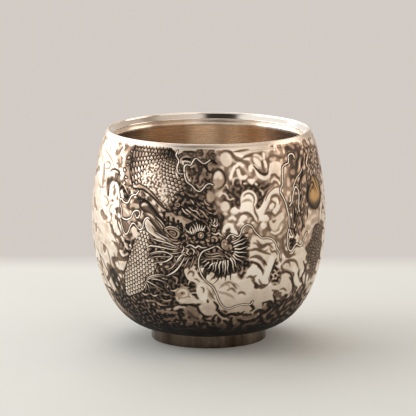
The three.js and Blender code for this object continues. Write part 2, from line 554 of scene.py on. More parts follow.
# How much of the coarse and the fine layer shows, from where there is no fine work to where there is
COARSE_SHARE, COARSE_LOSS = 0.8, 0.45
FINE_SHARE, FINE_GAIN = 0.32, 0.5
FINE_FROM, FINE_TO = 0.4, 0.7
BACK_FINE_NOISE, FINE_NOISE = (14.0, 61), (3.0, 62)
BACK_FINE, BACK_FINE_WANDER, FINE_WANDER = 0.1, 0.5, 0.12

# Height of the marbling: where a scroll stands up from the ground, and the levels of both
EDGE_BLUR, WIDE_BLUR = 0.1, 0.5
EDGE_LEVEL, EDGE_WANDER, EDGE_SPOTS = -0.16, 0.3, 0.2
EDGE_NOISE = (4.2, 67)
EDGE_HALF = 0.18
UNDER_FROM, UNDER_TO = 20.0, 5.0
SHADE_BASE, SHADE_BACK, SHADE_BACK_WANDER, SHADE_UNDER, SHADE_WANDER = 0.2, 0.1, 0.5, 0.7, 0.3
BACK_SHADE_NOISE, SHADE_NOISE = (12.0, 63), (3.5, 64)
# Painted shadow: on one side of each scroll the ground is sunk darker, like a cast shadow; shift up and
# across in millimetres, and the limits of nearness
SHADOW_UP, SHADOW_ACROSS = 0.4, 0.35
SHADOW_FROM, SHADOW_TO = -0.7, 0.25
LIGHT_GROUND, LIGHT_GROUND_SHADOW = -0.19, 0.06
DARK_GROUND, DARK_GROUND_SHADOW = -0.42, 0.1
ISLETS = (71, -0.06, 0.2, 8)
ISLET_HEIGHT, ISLET_BLUR, ISLET_TO, ISLET_SHADOW_LOSS = 0.18, 0.08, 0.9, 0.7
DULL_BACK, DULL_BACK_WANDER, DULL_UNDER, DULL_WANDER = 0.3, 0.5, 0.6, 0.5
BACK_DULL_NOISE, DULL_NOISE = (13.0, 68), (3.2, 69)
TOP_DULL, TOP_RIM, TOP_STAIN = 0.2, 0.05, 0.06
RIM_LOW, RIM_HIGH = 0.3, 0.95
STAIN_NOISE = (2.6, 65, 3)
STAIN_FROM, STAIN_TO, STAIN_SHIFT = 0.3, 0.9, 0.4
# The smeared marks near the foot
SMEAR_FROM, SMEAR_TO = 15.0, 8.0
SMEAR_LEVEL, SMEAR_DEPTH = -0.3, 0.22
SMEAR_ACROSS, SMEAR_UP = 2.4, 0.3
SMEAR_NOISE = (4.0, 91)
SMEAR_WANDER, SMEAR_SHARE = 1.5, 0.8


def spots_field(spots):
    """Sum of soft discs round pixels of the photograph."""
    total = np.zeros((ROWS, COLUMNS))
    for (theta, arc), (*_, radius, amount) in zip(on_cup([spot[:2] for spot in spots]), spots):
        x = ((ANGLE[None, :] - theta + math.pi) % (2 * math.pi) - math.pi) * RADIUS[:, None]
        total += amount * np.exp(-(x ** 2 + ((ARC - arc)[:, None]) ** 2) / radius ** 2)
    return total


def scroll_layer(cover, seed, reach, rounds, eddies, softness):
    """Scrolls of one size, stirred by eddies and softened."""
    return blur(stirred(scrolls(seed, cover, reach, rounds), *eddies), softness)


def cloud_scrolls(behind):
    """The scrolls all round the cup: coarse with fine ones among them, and broad ones behind."""
    cover = COVER_WANDER * wander(*COVER_NOISE) + spots_field(COVER_SPOTS) + BACK_COVER * behind
    share = spots_field(FINE_SPOTS) + behind * (BACK_FINE + BACK_FINE_WANDER * wander(*BACK_FINE_NOISE))
    share = step(FINE_FROM, FINE_TO, share + FINE_WANDER * wander(*FINE_NOISE))
    field = scroll_layer(cover, *COARSE_LAYER) * (COARSE_SHARE - COARSE_LOSS * share)
    field = field + scroll_layer(cover, *FINE_LAYER) * (FINE_SHARE + FINE_GAIN * share)
    strip = 1 - step(STRIP_FULL, 1.0, np.abs(ANGLE - LEFT_STRIP) / LEFT_STRIP_HALF)[None, :]
    broad = scroll_layer(BROAD_COVER + BROAD_WANDER * wander(*BROAD_NOISE), *BROAD_LAYER)
    return field + (broad - field) * np.maximum(strip, behind)


def painted_scroll_shadow(field):
    """Painted shadow: how near the ground is to a scroll on one side of it, which sinks it darker."""
    rows = np.arange(ROWS)[:, None] + SHADOW_UP / ROW_STEP
    columns = np.arange(COLUMNS)[None, :] + SHADOW_ACROSS / (CELL * RADIUS[:, None])
    return step(SHADOW_FROM, SHADOW_TO, look_up(field, rows, columns))


def marbling():
    """Heights of the cloud scrolls all round the cup."""
    behind = step(BLEND_FROM, BLEND_TO, np.abs(ANGLE))[None, :]
    # Towards the foot the ground is darker and the tops duller: partly the patina of the underside, partly
    # painted shade
    under = 1 - step(UNDER_TO, UNDER_FROM, ARC)[:, None]
    field = cloud_scrolls(behind)
    dark_spots = spots_field(SHADE_SPOTS)
    level = EDGE_LEVEL + EDGE_WANDER * wander(*EDGE_NOISE) + EDGE_SPOTS * np.clip(dark_spots, 0, 1)
    stand = blur(field, EDGE_BLUR) - level
    # Painted shadow that each scroll casts on the ground at one side
    near = painted_scroll_shadow(stand)

    back_shade = behind * (SHADE_BACK + SHADE_BACK_WANDER * wander(*BACK_SHADE_NOISE))
    shade = SHADE_BASE + dark_spots + back_shade + SHADE_UNDER * under
    shade = np.clip(shade + SHADE_WANDER * wander(*SHADE_NOISE), 0, 1)
    ground = (1 - shade) * (LIGHT_GROUND - LIGHT_GROUND_SHADOW * near) + shade * (DARK_GROUND - DARK_GROUND_SHADOW * near)
    islets = scrolls(*ISLETS)
    raised = step(0.0, ISLET_TO, blur(islets, ISLET_BLUR))
    ground += ISLET_HEIGHT * shade * raised * (1 - ISLET_SHADOW_LOSS * near)

    back_dull = behind * (DULL_BACK + DULL_BACK_WANDER * wander(*BACK_DULL_NOISE))
    dull = spots_field(DULL_SPOTS) + back_dull + DULL_UNDER * under
    dull = dull * (1 + DULL_WANDER * wander(*DULL_NOISE))
    rim = 1 - step(RIM_LOW, RIM_HIGH, blur(field, WIDE_BLUR))
    stain = step(STAIN_FROM, STAIN_TO, wander(*STAIN_NOISE) + STAIN_SHIFT)
    top = BRIGHT - TOP_DULL * np.clip(dull, 0, 1) - TOP_RIM * (1 - rim) - TOP_STAIN * stain
    field = ground + (top - ground) * step(-EDGE_HALF, EDGE_HALF, stand)

    smear = blur(islets, SMEAR_ACROSS, SMEAR_UP)
    smear = SMEAR_LEVEL + SMEAR_DEPTH * smear / np.abs(smear).max()
    height = ARC[:, None] + SMEAR_WANDER * wander(*SMEAR_NOISE)
    field += (smear - field) * (1 - step(SMEAR_TO, SMEAR_FROM, height)) * SMEAR_SHARE
    return np.clip(field, BLACK, BRIGHT)


# Tooling: pitches in millimetres, and the noise that thins it out in patches
FINEST, FINE, MIDDLE = 0.18, 0.26, 0.46
TOOLING_SEED, TOOLING_ROUNDS = 83, 8
TOOLING_COVER, TOOLING_WANDER = -0.04, 0.1
THIN_NOISE, FAINT_NOISE = (1.6, 84, 3), (1.6, 85, 3)
TOOLING_BLUR = 0.45
TOOLING_FROM, TOOLING_TO = -0.5, 0.8
TOOLING_SHARE, FAINT_WANDER = 0.8, 0.3


def tooling_field(pitch):
    """Small curls, thick in some places and scattered in others, from 0 to 1."""
    curls = scrolls(TOOLING_SEED, TOOLING_COVER + TOOLING_WANDER * wander(*THIN_NOISE), pitch, TOOLING_ROUNDS)
    raised = step(TOOLING_FROM, TOOLING_TO, blur(curls, pitch * TOOLING_BLUR))
    return raised * (TOOLING_SHARE + FAINT_WANDER * wander(*FAINT_NOISE))


tooling = {pitch: tooling_field(pitch) for pitch in (FINEST, FINE, MIDDLE)}


def chased_ground(relief, pixels, pitch, high, low, soft=GROUND_SOFT, place=on_cup):
    """Fine tooling inside an outline: small raised curls on a sunk ground."""
    spot, away = field_to(line(pixels, closed=True, place=place), 2 * soft)
    part = relief[cells(spot)]
    body = low + (high - low) * tooling[pitch][cells(spot)]
    part += (body - part) * (1 - step(-soft, soft, away))
    relief[cells(spot)] = part


# Fields of ground under the drawn clouds: high, low, pitch of the tooling, outline
CLOUD_GROUNDS = (
    (-0.1, -0.23, 0.46, (218, 150, 232, 149, 250, 151, 272, 151, 284, 154, 289, 165, 289, 190, 287, 205, 288,
        232, 284, 250, 262, 262, 250, 238, 238, 231, 224, 224, 216, 208, 213, 185, 215, 165)),
    (-0.22, -0.4, 0.26, (228, 184, 240, 180, 262, 183, 270, 184, 268, 192, 264, 204, 258, 210, 252, 203, 240,
        207, 231, 209, 224, 203, 223, 192)),
    (-0.2, -0.5, 0.26, (236, 262, 241, 258, 248, 259, 251, 263, 248, 268, 245, 275, 241, 279, 238, 275)),
    (-0.05, -0.5, 0.26, (275, 258, 278, 262, 277, 267, 281, 273, 279, 281, 275, 285, 271, 281, 270, 275, 274,
        268)),
    (-0.13, -0.38, 0.46, (262, 303, 275, 300, 286, 299, 296, 292, 303, 284, 306, 292, 298, 306, 288, 318,
        272, 324, 256, 322, 262, 312)),
    (-0.1, -0.22, 0.46, (280, 147, 298, 147, 300, 156, 297, 170, 293, 184, 290, 196, 287, 202, 283, 192, 281,
        170, 283, 158)),
    (-0.1, -0.2, 0.46, (281, 186, 287, 200, 288, 214, 287, 228, 282, 226, 280, 205)),
    (-0.08, -0.32, 0.26, (300, 146, 316, 146, 319, 160, 320, 180, 320, 204, 308, 208, 306, 180, 303, 160)),
    (-0.16, -0.4, 0.18, (310, 240, 314, 230, 320, 230, 322, 246, 320, 262, 314, 269, 308, 262, 307, 250)),
    (-0.07, -0.15, 0.46, (300, 214, 318, 208, 320, 226, 312, 236, 306, 246, 302, 250, 298, 240)),
)
CLOUD_FIELDS = (
    (CREAM, (222, 147, 240, 146, 272, 147, 272, 150, 262, 151, 254, 152, 247, 154, 241, 157, 236, 156, 232,
        152, 226, 149)),
    (CREAM, (221, 154, 226, 152, 231, 156, 232, 163, 227, 167, 222, 164, 220, 159)),
    (BRIGHT, (253, 158, 256, 158, 260, 161, 261, 166, 258, 166, 254, 162)),
    (CREAM, (270, 166, 272, 162, 279, 162, 281, 167, 280, 177, 276, 175, 272, 174, 270, 172)),
    (BRIGHT, (247.5, 179.5, 254.5, 179.5, 252, 185)),
    (BRIGHT, (230.5, 212, 231.5, 208.5, 235, 207, 239, 210, 240.5, 205, 240.3, 198, 242, 193, 246, 190.3,
        250.5, 190, 254.5, 192.5, 256.8, 197, 256.6, 203, 255.4, 206.5, 257.3, 210, 262, 209.5, 264.5, 206,
        259, 222, 252, 217, 240, 212, 236, 214)),
    (BRIGHT, (260, 211, 265, 213, 269, 219, 265, 221.5, 259, 220)),
    (BRIGHT, (240, 218, 241.5, 215.4, 245, 215, 247.4, 217, 245.5, 220, 242, 221.8, 239, 221)),
    (CREAM, (269, 222, 273, 219, 278, 215, 283, 212, 284, 218, 280, 223, 277.5, 228.5, 273.5, 231, 270, 227)),
    (BRIGHT, (260.3, 225.5, 263.4, 221.7, 266.4, 225.5, 263.4, 229.3)),
    (CREAM, (252, 238, 262, 237, 272, 238.5, 276.5, 243, 278.5, 250, 280, 257, 277, 262, 268, 266, 262, 268,
        254, 262, 250, 258, 249, 250)),
    (CREAM, (206, 285, 213, 279, 222, 277, 232, 275, 240, 280, 247, 278, 251, 279.5, 254, 283, 255, 288, 258,
        291, 262, 289, 267, 286, 272, 286, 279, 284, 282, 277, 288, 276, 292, 281, 291.5, 288, 288, 294, 282,
        293, 277, 290, 274.5, 294, 275, 300, 270, 301, 263, 302.5, 261, 307, 252, 309.5, 244, 311.5, 232,
        312.5, 220, 309, 212, 306, 207, 297)),
    (BRIGHT, (246.5, 273, 248.5, 268.5, 252.5, 266.4, 257.5, 267.4, 261.3, 271.5, 262.5, 276, 259, 281,
        253.5, 279, 248, 278)),
    (BRIGHT, (262, 283, 260, 277, 264, 271, 267.5, 265, 269.5, 257, 273.5, 257, 273.5, 263, 271.5, 270, 268,
        276, 268, 284)),
    (CREAM, (281, 262, 285, 258, 291, 258, 294, 251, 299, 248, 303, 247, 306, 252, 305, 262, 303, 270, 298,
        268, 294, 272, 288, 270, 283, 268)),
    (BRIGHT, (196, 290, 197.5, 285, 202, 283, 206, 286, 207, 296, 206, 303, 200, 300, 197, 295)),
    (CREAM, (199, 306, 206, 303, 214, 305, 217, 311, 212, 316, 204, 315, 200, 311)),
    (CREAM, (175, 297, 178, 291.5, 184, 290.5, 190, 293, 197, 299, 203, 301, 204, 304, 196, 303.5, 186, 304,
        178, 302)),
    (TAN, (183, 309, 188, 306.5, 194, 307, 198, 311, 199, 317, 193, 319, 187, 314)),
    (TAN, (207, 193, 211, 191.6, 214.5, 194.5, 214, 199.5, 210.5, 202, 206.8, 199)),
    (CREAM, (220.5, 207, 222, 202.5, 226, 201.2, 229.2, 204, 229.4, 209, 225, 211, 221.5, 210.5)),
    (TAN, (212, 179, 214.5, 171.5, 219, 169.8, 223.5, 174, 225, 181, 221.5, 187, 216, 188, 212.6, 184.5)),
    (BRIGHT, (179, 276, 183, 270, 188, 271, 196, 273, 201, 280, 197, 283, 188, 281, 182, 281)),
)
# Light strokes on the drawn ground
CLOUD_LIGHTS = (
    (BRIGHT, 0.42, (263.6, 153.6, 264, 158.4)), (BRIGHT, 0.5, (264.4, 161.4, 266, 166.2)),
    (BRIGHT, 0.34, (253.5, 154.6, 258, 155.3, 261.4, 158.8)),
    (BRIGHT, 0.55, (235, 153, 240, 155.2, 244, 158, 248.5, 158.6)),
    (BRIGHT, 0.55, (236, 166.2, 239.2, 163.8, 242.6, 165.6)),
    (BRIGHT, 0.62, (238, 170.5, 239.2, 175, 242.2, 178, 245.8, 176.6)),
    (BRIGHT, 0.5, (234.4, 166.5, 232.2, 172, 230, 178)),
    (BRIGHT, 0.7, (250.5, 170, 250.4, 167, 253.6, 166.2, 256.2, 168.8, 257.8, 173, 260.6, 176.6, 264.6,
        178.2, 268.2, 175.8, 270.2, 170, 271.2, 165)),
    (BRIGHT, 0.3, (244, 183.6, 245.4, 183.4)), (BRIGHT, 0.3, (255.6, 184, 256.8, 184.4)),
    (CREAM, 0.4, (271.5, 181.5, 273.6, 178.8, 277, 180.4, 279.4, 183.8)),
    (CREAM, 0.26, (233, 184.4, 232.8, 181, 234.6, 178.4, 238, 177.8, 240.4, 180, 241, 184)),
    (CREAM, 0.3, (260, 190.2, 262.4, 191.6, 262.8, 195)),
    (BRIGHT, 1.0, (258, 213, 262.4, 209.4, 265.4, 204, 267.6, 198, 270.6, 193, 275, 190.4, 279.6, 190.2)),
    (BRIGHT, 0.55, (274.2, 199.4, 276.8, 201)), (BRIGHT, 0.7, (271, 207, 273, 204.6)),
    (BRIGHT, 0.8, (274.4, 212, 277.4, 208.4, 278, 204)),
    (BRIGHT, 0.36, (271.5, 232, 275.2, 233.6, 279.4, 231.4, 281.4, 227.6)),
    (BRIGHT, 0.36, (237.6, 225, 240.4, 222.6, 243.4, 224.4)), (BRIGHT, 0.4, (252.4, 223, 253.8, 222.6)),
    (BRIGHT, 0.5, (229.6, 219, 232.4, 217.6, 235, 219.4)), (CREAM, 0.4, (225.6, 213.4, 226.6, 214.2)),
    (BRIGHT, 0.62, (223.6, 231, 225.4, 227, 229, 225, 232, 227.4, 233, 232.4, 236, 234.6)),
    (CREAM, 0.3, (219, 196.6, 222.6, 193.4, 226.4, 195, 229, 199.6, 233.6, 198.6)),
    (CREAM, 0.7, (215.4, 177, 218, 173.6, 220.6, 177.6)), (CREAM, 0.3, (222, 187, 226, 184.6, 228, 188)),
    (BRIGHT, 0.34, (206, 214, 210, 216.4, 213, 214)), (BRIGHT, 0.5, (293.4, 268, 296, 274, 298.4, 282)),
    (CREAM, 0.4, (303.6, 262, 304.8, 270, 303, 279)), (CREAM, 0.4, (297, 262, 300.4, 269, 300, 277)),
    (TAN, 0.34, (240.8, 264.4, 242.6, 268, 241.6, 273)),
    (BRIGHT, 0.24, (272.6, 275.4, 275, 273.4, 277.6, 275)), (BRIGHT, 0.22, (273.6, 279, 276, 278)),
    (CREAM, 0.4, (174, 309, 179, 306.6, 185, 307.4)),
    (CREAM, 0.5, (154, 299, 158.6, 303.6, 165, 305.2, 171, 304)),
    (CREAM, 0.4, (136, 292, 139, 298.6, 145, 300.4, 152, 300.6, 158, 302)),
    (TAN, 0.6, (160, 311, 166, 312, 172, 312.6, 178, 313.6)), (TAN, 0.6, (158, 318, 164, 320, 171, 319)),
    (TAN, 0.6, (184, 318, 192, 320.4, 202, 320.6)), (CREAM, 0.45, (211, 309, 216, 312, 221, 317.6, 228, 320)),
    (TAN, 0.4, (222, 311, 226, 314.6, 231, 317)), (TAN, 0.6, (236, 318, 246, 318, 256, 315)),
)
# Brown bands and dark cracks on the drawn clouds
CLOUD_DARKS = (
    (BROWN, 0.5, (256.7, 240.2, 261.7, 246, 268.3, 244.3, 273.3, 248.5)),
    (BROWN, 0.5, (248.3, 251, 256.7, 249.3, 265, 252.7, 270.8, 254.3)),
    (DARK, 0.5, (250, 257.7, 256.7, 256.8, 263.3, 261, 266.7, 265.2)),
    (BROWN, 0.4, (260.8, 267.7, 263, 271, 262.6, 275.6)),
    (DARK, 0.5, (252, 280, 256.7, 285.4, 261.7, 287.7, 268.3, 284.3)),
    (BROWN, 0.4, (221.6, 287, 226, 283, 231.6, 283, 236.7, 289)),
    (BROWN, 0.36, (226.7, 291, 231.7, 288.5, 236, 292.7)), (TAN, 0.5, (219, 293, 226, 293.6, 233.3, 297)),
    (BROWN, 0.36, (238.3, 294.3, 241.6, 292.6, 245.6, 295)),
    (DARK, 0.36, (289, 277, 292, 281.6, 293, 289.3, 289.6, 297)),
    (BROWN, 0.7, (272, 290, 278, 293.4, 282, 300)),
    (BROWN, 0.5, (281.7, 266, 286.7, 261, 295, 261, 298.3, 267.7)),
    (DARK, 0.44, (303.3, 261, 305, 269.3, 301.7, 277.7, 303.3, 287.7)),
    (BROWN, 0.4, (285, 250, 290, 255, 296, 254.4)), (TAN, 0.7, (210, 283, 214, 290, 212, 298)),
    (BROWN, 0.34, (234, 151.6, 241, 150.4, 249, 149.2)),
    (BROWN, 0.5, (221, 151.4, 226, 150.4, 230.6, 152.2, 234, 157, 237, 160.2, 243, 160.6)),
    (BROWN, 0.42, (241.6, 158.6, 246, 156.2, 250, 155.2, 254.4, 153)),
    (DARK, 0.4, (253, 165, 257, 169.6, 261.4, 173.6, 266.6, 174, 268.4, 170)),
    (BROWN, 0.5, (262.4, 161, 262.8, 167, 264.6, 171)), (BROWN, 0.5, (268, 157, 268.4, 164, 268.2, 170)),
    (BROWN, 0.55, (267.6, 160, 270.4, 156, 275, 155.6, 279.4, 157.4, 283.6, 157.6)),
    (BROWN, 0.3, (284, 147.5, 285.6, 151.4, 284.6, 156.6, 282.6, 161)),
    (BROWN, 0.45, (270.6, 175.6, 274.4, 174.6, 277.6, 177.4, 280.4, 178.6)),
    (BROWN, 0.3, (252.4, 169.6, 254.6, 171.4)), (BROWN, 0.5, (271.6, 184.6, 274.8, 182, 278.4, 184)),
    (BROWN, 0.32, (243.4, 197, 245.6, 194, 250, 193.4, 253.6, 196.4, 254.4, 201, 253, 206.6)),
    (TAN, 0.5, (241.8, 202.4, 245, 200.6, 249, 200.2, 252.4, 202.6)),
    (BROWN, 0.45, (239.6, 215.6, 243.6, 213, 248.6, 213.6, 252.6, 217.4, 254.4, 222)),
    (BROWN, 0.36, (254, 206, 255, 212, 257.8, 217.6, 258, 222)),
    (BROWN, 0.3, (265, 201.4, 267.6, 195, 271, 190.4, 275.4, 187.4, 280.4, 187.4)),
    (BROWN, 0.42, (271.6, 203, 270.8, 198.4, 273.4, 195.4, 277.4, 196, 279.6, 200, 279, 205)),
    (BROWN, 0.36, (270, 201, 273, 201.8, 275.4, 204.4, 274, 208)),
    (BROWN, 0.5, (264, 214.4, 268, 212.8, 272, 213.6, 275.4, 216.4)),
    (BROWN, 0.36, (272, 220.4, 273.8, 222, 275.6, 219.6)), (BROWN, 0.4, (268, 221, 268.4, 226, 270.6, 231)),
    (BROWN, 0.4, (252.6, 243.2, 256, 243.6, 259.4, 247, 263, 247.4, 267.4, 244.4, 273.2, 242.6)),
    (BROWN, 0.5, (258.6, 245.6, 262.6, 245.4)),
    (BROWN, 0.5, (251.6, 257.8, 256, 256, 260.4, 257.8, 262.8, 261.6, 264.4, 266.4)),
    (BROWN, 0.34, (269.6, 247.4, 272, 251.8, 275.4, 251.2, 277.6, 255)),
    (BROWN, 0.34, (251, 250.4, 256, 249.4, 261, 251.4, 265.6, 251, 268.4, 249)),
    (DARK, 0.42, (249, 262.4, 254, 262.8, 258.4, 265, 261.4, 268.8, 262.4, 272.6)),
    (BROWN, 0.5, (246.6, 278, 250, 276.6, 253.4, 278.6, 254.6, 283)), (BROWN, 0.36, (253, 278, 256.6, 275.4)),
    (DARK, 0.75, (255.4, 284.4, 257, 288.6)),
    (BROWN, 0.42, (258.6, 279, 260.6, 283.4, 263.6, 286.6, 265.6, 286.4)),
    (BROWN, 0.34, (257.4, 286.4, 261, 288.4, 264, 286.6)),
    (DARK, 0.42, (276.4, 258.6, 275, 263, 273.2, 268.4, 270.6, 274)),
    (BROWN, 0.62, (283, 236, 283.2, 246, 284.8, 252.6, 288, 256.6, 291.8, 255.6, 294.6, 250.6)),
    (BROWN, 0.3, (282.8, 264.6, 286, 262.2, 289.2, 263, 290.2, 266.4)),
    (DARK, 0.32, (279, 276, 283.4, 272.4, 288.6, 272.6, 291.8, 276.6, 293, 283, 291.8, 290, 288, 295.6)),
    (BROWN, 0.36, (279.4, 290, 283, 288.6, 286.6, 291)),
    (TAN, 0.34, (219, 288.6, 223.6, 284.4, 228.6, 285.6, 230.6, 290)),
    (TAN, 0.26, (223, 284.6, 230, 282.8, 235.6, 284, 239, 287)),
    (TAN, 0.34, (215, 290, 221.6, 292.6, 228, 295, 234.4, 298.6)),
    (BROWN, 0.26, (237.6, 293.6, 241, 292, 245.6, 293.2)),
    (TAN, 0.3, (206.6, 288, 209.6, 291.4, 209, 296, 212, 300.4)),
    (BLACK, 0.34, (262, 303, 266.4, 302.2, 270.4, 301.2, 272.6, 304.4, 275.4, 302.6, 274.4, 298, 273.6,
        294.4, 276.4, 291)),
    (BLACK, 0.36, (275.4, 302.6, 278.4, 306.2, 281.6, 305, 284, 301, 288, 298.6, 291.4, 295)),
    (BLACK, 0.42, (252, 301, 251, 305, 253.6, 308.6, 250, 312)),
    (BLACK, 0.42, (262, 314, 267.4, 311.6, 270.4, 308.6, 268.6, 304.8)),
    (BLACK, 0.5, (216.6, 308.4, 219.6, 313, 225, 316.4, 231, 314.2, 237.6, 315.4, 244, 311.6)),
    (BLACK, 0.32, (213.6, 301.4, 217.6, 306.6, 216, 311)),
    (BROWN, 0.3, (200.4, 287, 203.6, 288.6, 203.6, 293)), (BROWN, 0.34, (209, 291, 211.6, 296, 214.6, 299.6)),
    (BLACK, 0.3, (174.6, 303.6, 181, 305.4, 190, 305.2, 196.6, 307.4)),
    (BLACK, 0.34, (181, 310, 178.6, 314, 181.4, 320, 185, 326)),
    (BLACK, 0.3, (193.6, 303.6, 197.6, 308.4, 200.6, 313, 206, 316.6, 212, 316.4)),
    (DARK, 0.3, (178.6, 299.6, 181, 294.6, 186.4, 294.2, 190, 297.6)),
    (BLACK, 0.4, (160, 306.6, 168, 307.4, 175, 305.6)),
    (BLACK, 0.36, (152, 309, 158, 313.4, 166, 316, 175, 316.8)),
    (BROWN, 0.5, (188, 311, 192, 316, 198, 319.6)), (BROWN, 0.4, (208, 205, 210.8, 205.6)),
    (BLACK, 0.8, (209.4, 204, 210, 206.4)),
    (DARK, 0.34, (212.6, 186, 212, 179, 214, 172, 218.6, 169, 223.6, 173, 225.6, 180.6, 222.4, 186.6, 217.6,
        188.8)),
    (BROWN, 0.4, (224.4, 168.6, 226.6, 175, 228.6, 182, 229, 190)),
    (DARK, 0.6, (220, 213, 223, 217.6, 221, 223, 222, 229.6)),
)
STRIP_GROUNDS = (
    (-0.1, -0.34, 0.46, (120, 201, 127, 205, 132, 197, 139, 192, 144, 200, 142, 212, 144, 220, 142, 231, 135,
        238, 126, 236, 121.4, 226, 120, 212)),
    (-0.13, -0.26, 0.46, (119, 138, 131, 138, 132, 148, 131, 160, 129, 172, 124, 170, 119, 168, 117, 156,
        118, 146)),
    (-0.24, -0.38, 0.46, (106.5, 186, 107, 179, 111, 176.4, 116, 178, 119.6, 182, 119.4, 192, 117.6, 184.6,
        114.6, 181.8, 111.4, 183.4, 109.8, 190, 109.4, 196, 106.8, 195)),
    (-0.22, -0.5, 0.26, (119, 182, 124, 182, 130, 190, 131, 196, 128, 202, 124, 201, 120, 198)),
    (-0.3, -0.44, 0.46, (110, 265, 113, 267.4, 117, 272, 120, 277.4, 123, 284, 125, 292, 122, 296, 117, 290,
        113, 282, 110, 274)),
    (-0.1, -0.46, 0.26, (119, 240, 128, 238, 136, 242, 137, 254, 133, 263, 129, 258, 124, 254, 121, 248)),
    (-0.14, -0.5, 0.26, (110, 288, 122, 294, 134, 292, 142, 300, 150, 304, 158, 312, 166, 322, 160, 330, 146,
        326, 132, 316, 120, 304)),
)
STRIP_DARKS = (
    (OCHRE, 0.3, (105, 148, 107.6, 153, 111.4, 159, 113.4, 165, 116.4, 170.6)),
    (OCHRE, 0.3, (111, 142, 110, 148, 112.6, 153)),
    (OCHRE, 0.34, (104, 163.4, 107.8, 161.8, 110.8, 164.4, 109.4, 168, 105, 168.6)),
    (OCHRE, 0.3, (103.8, 171.6, 102, 175, 102.4, 180, 104.6, 181.6, 106.2, 177, 105.6, 172.6)),
    (OCHRE, 0.34, (98.6, 178, 98.6, 184, 101.4, 187.6, 105.4, 187)), (OCHRE, 0.26, (99.6, 171, 98.4, 175)),
    (DARK, 0.3, (110, 172, 112.8, 169.4, 117, 170, 119, 173.6, 117, 177)),
    (OCHRE, 0.34, (112.2, 189, 113.6, 187, 115.6, 190, 115, 194.6, 113, 194)),
    (OCHRE, 0.42, (103.4, 195.6, 106.8, 198.4, 108.4, 203, 106.6, 206.4, 104.8, 203)),
    (OCHRE, 0.3, (113.6, 205, 110.4, 206.4, 109.4, 212, 111.4, 218.6, 109.6, 222.6, 105.8, 222)),
    (DARK, 0.34, (117.4, 207, 116.4, 211, 117.8, 215.6)), (DARK, 0.3, (117, 219, 118.4, 226, 121, 233)),
    (OCHRE, 0.24, (100.8, 206.6, 103, 211, 106.6, 218)),
    (OCHRE, 0.24, (92.6, 220.4, 97.6, 227.4, 103.4, 235)),
    (BROWN, 0.3, (101, 242, 105.4, 246.6, 108.4, 253, 110, 260, 111, 267)),
    (BROWN, 0.34, (99.6, 254, 102.8, 259.4, 105.4, 266, 108.6, 273, 109.4, 280)),
    (DARK, 0.3, (96.4, 246, 98.8, 252.4, 101.2, 260, 103.6, 269)),
    (OCHRE, 0.34, (111.6, 231.6, 115, 238, 119.4, 246)),
    (BROWN, 0.34, (115.4, 232.6, 118.8, 240, 122, 247, 126, 252.6)),
    (BROWN, 0.3, (113.4, 253, 117, 260, 119.6, 265)), (BROWN, 0.34, (119, 268.6, 122, 275, 124, 283)),
    (DARK, 0.3, (103.6, 270, 107, 278, 111.4, 286, 115, 292)),
    (BROWN, 0.34, (101.6, 266, 104.4, 276, 108, 285)),
)
STRIP_LIGHTS = (
    (BRIGHT, 0.34, (123.4, 143.6, 124, 148, 121.6, 152.6, 123.6, 156.4, 127, 153, 129.4, 150)),
    (BRIGHT, 0.85, (124.4, 159.4, 124.6, 165)),
    (BRIGHT, 0.4, (120.2, 169, 122.4, 171.4, 122.6, 176, 121, 179.6)),
    (BRIGHT, 0.42, (109.8, 197, 110.4, 189, 112.4, 184, 115.4, 183.4, 117.8, 187, 118.8, 194, 119.4, 201)),
    (BRIGHT, 0.6, (113.4, 207.4, 113.6, 217.4)), (CREAM, 0.7, (121.6, 191.6, 122.6, 197.4)),
    (BRIGHT, 0.36, (118.2, 277.6, 119.4, 280)), (BRIGHT, 0.3, (116.8, 283.4, 117.6, 285.4)),
    (CREAM, 0.26, (121.4, 286, 122.4, 289)), (BRIGHT, 0.3, (121.4, 237, 124, 241)),
    (BRIGHT, 0.34, (124.6, 244, 127, 248.6)), (BRIGHT, 0.34, (130, 245.6, 133.6, 250)),
    (BRIGHT, 0.26, (131.6, 253.6, 134.4, 256)), (CREAM, 0.3, (110.8, 286, 114.6, 291)),
)


FIELD_SOFT = 0.24
LIGHT_SOFT = 0.2
CLOUD_BLUR = 0.22
CLOUD_SHADING = 0.6
CLOUD_WIDE = 0.9
CLOUD_RELIEF = 0.18
# Darkening towards the foot: partly the patina of the underside, partly painted shade of the wall that turns
# down from the light
UNDER_PATINA_AND_SHADE = 0.16
# Copies of the cloud group for the sides and back: degrees turned, millimetres lifted, mirrored or not
CLOUD_COPIES = ((84, -1.5, 1.0), (-86, 1.5, -1.0), (142, 2.0, 1.0), (172, -3.0, 1.0))
COPY_CONTRAST, COPY_SOFT = 0.12, 2.0
TONE_FROM, TONE_TO = 29.0, 7.0


def cloud_group(relief, place=on_cup, contrast=1.0, soft=GROUND_SOFT):
    """The group of clouds before the dragon; contrast weakens the tooling of its copies."""
    for high, low, pitch, pixels in CLOUD_GROUNDS:
        middle, reach = (high + low) / 2, (high - low) / 2 * contrast
        chased_ground(relief, pixels, pitch, middle + reach, middle - reach, soft, place)
    areas(relief, CLOUD_FIELDS, FIELD_SOFT, place)
    strokes(relief, CLOUD_LIGHTS, even, LIGHT_SOFT, place)
    strokes(relief, CLOUD_DARKS, place=place)


def drawn_clouds(relief):
    """The clouds that have a shape of their own, with soft shading along their edges."""
    for copy in CLOUD_COPIES:
        cloud_group(relief, carried(*copy), COPY_CONTRAST, COPY_SOFT)
    cloud_group(relief)
    for high, low, pitch, pixels in STRIP_GROUNDS:
        chased_ground(relief, pixels, pitch, high, low)
    strokes(relief, STRIP_DARKS)
    strokes(relief, STRIP_LIGHTS, even, LIGHT_SOFT)
    relief += (blur(relief, CLOUD_BLUR) - relief) * CLOUD_SHADING
    relief += CLOUD_RELIEF * (relief - blur(relief, CLOUD_WIDE))
    # Darker towards the foot: partly patina, partly painted shade
    relief -= UNDER_PATINA_AND_SHADE * (1 - step(TONE_TO, TONE_FROM, ARC))[:, None]


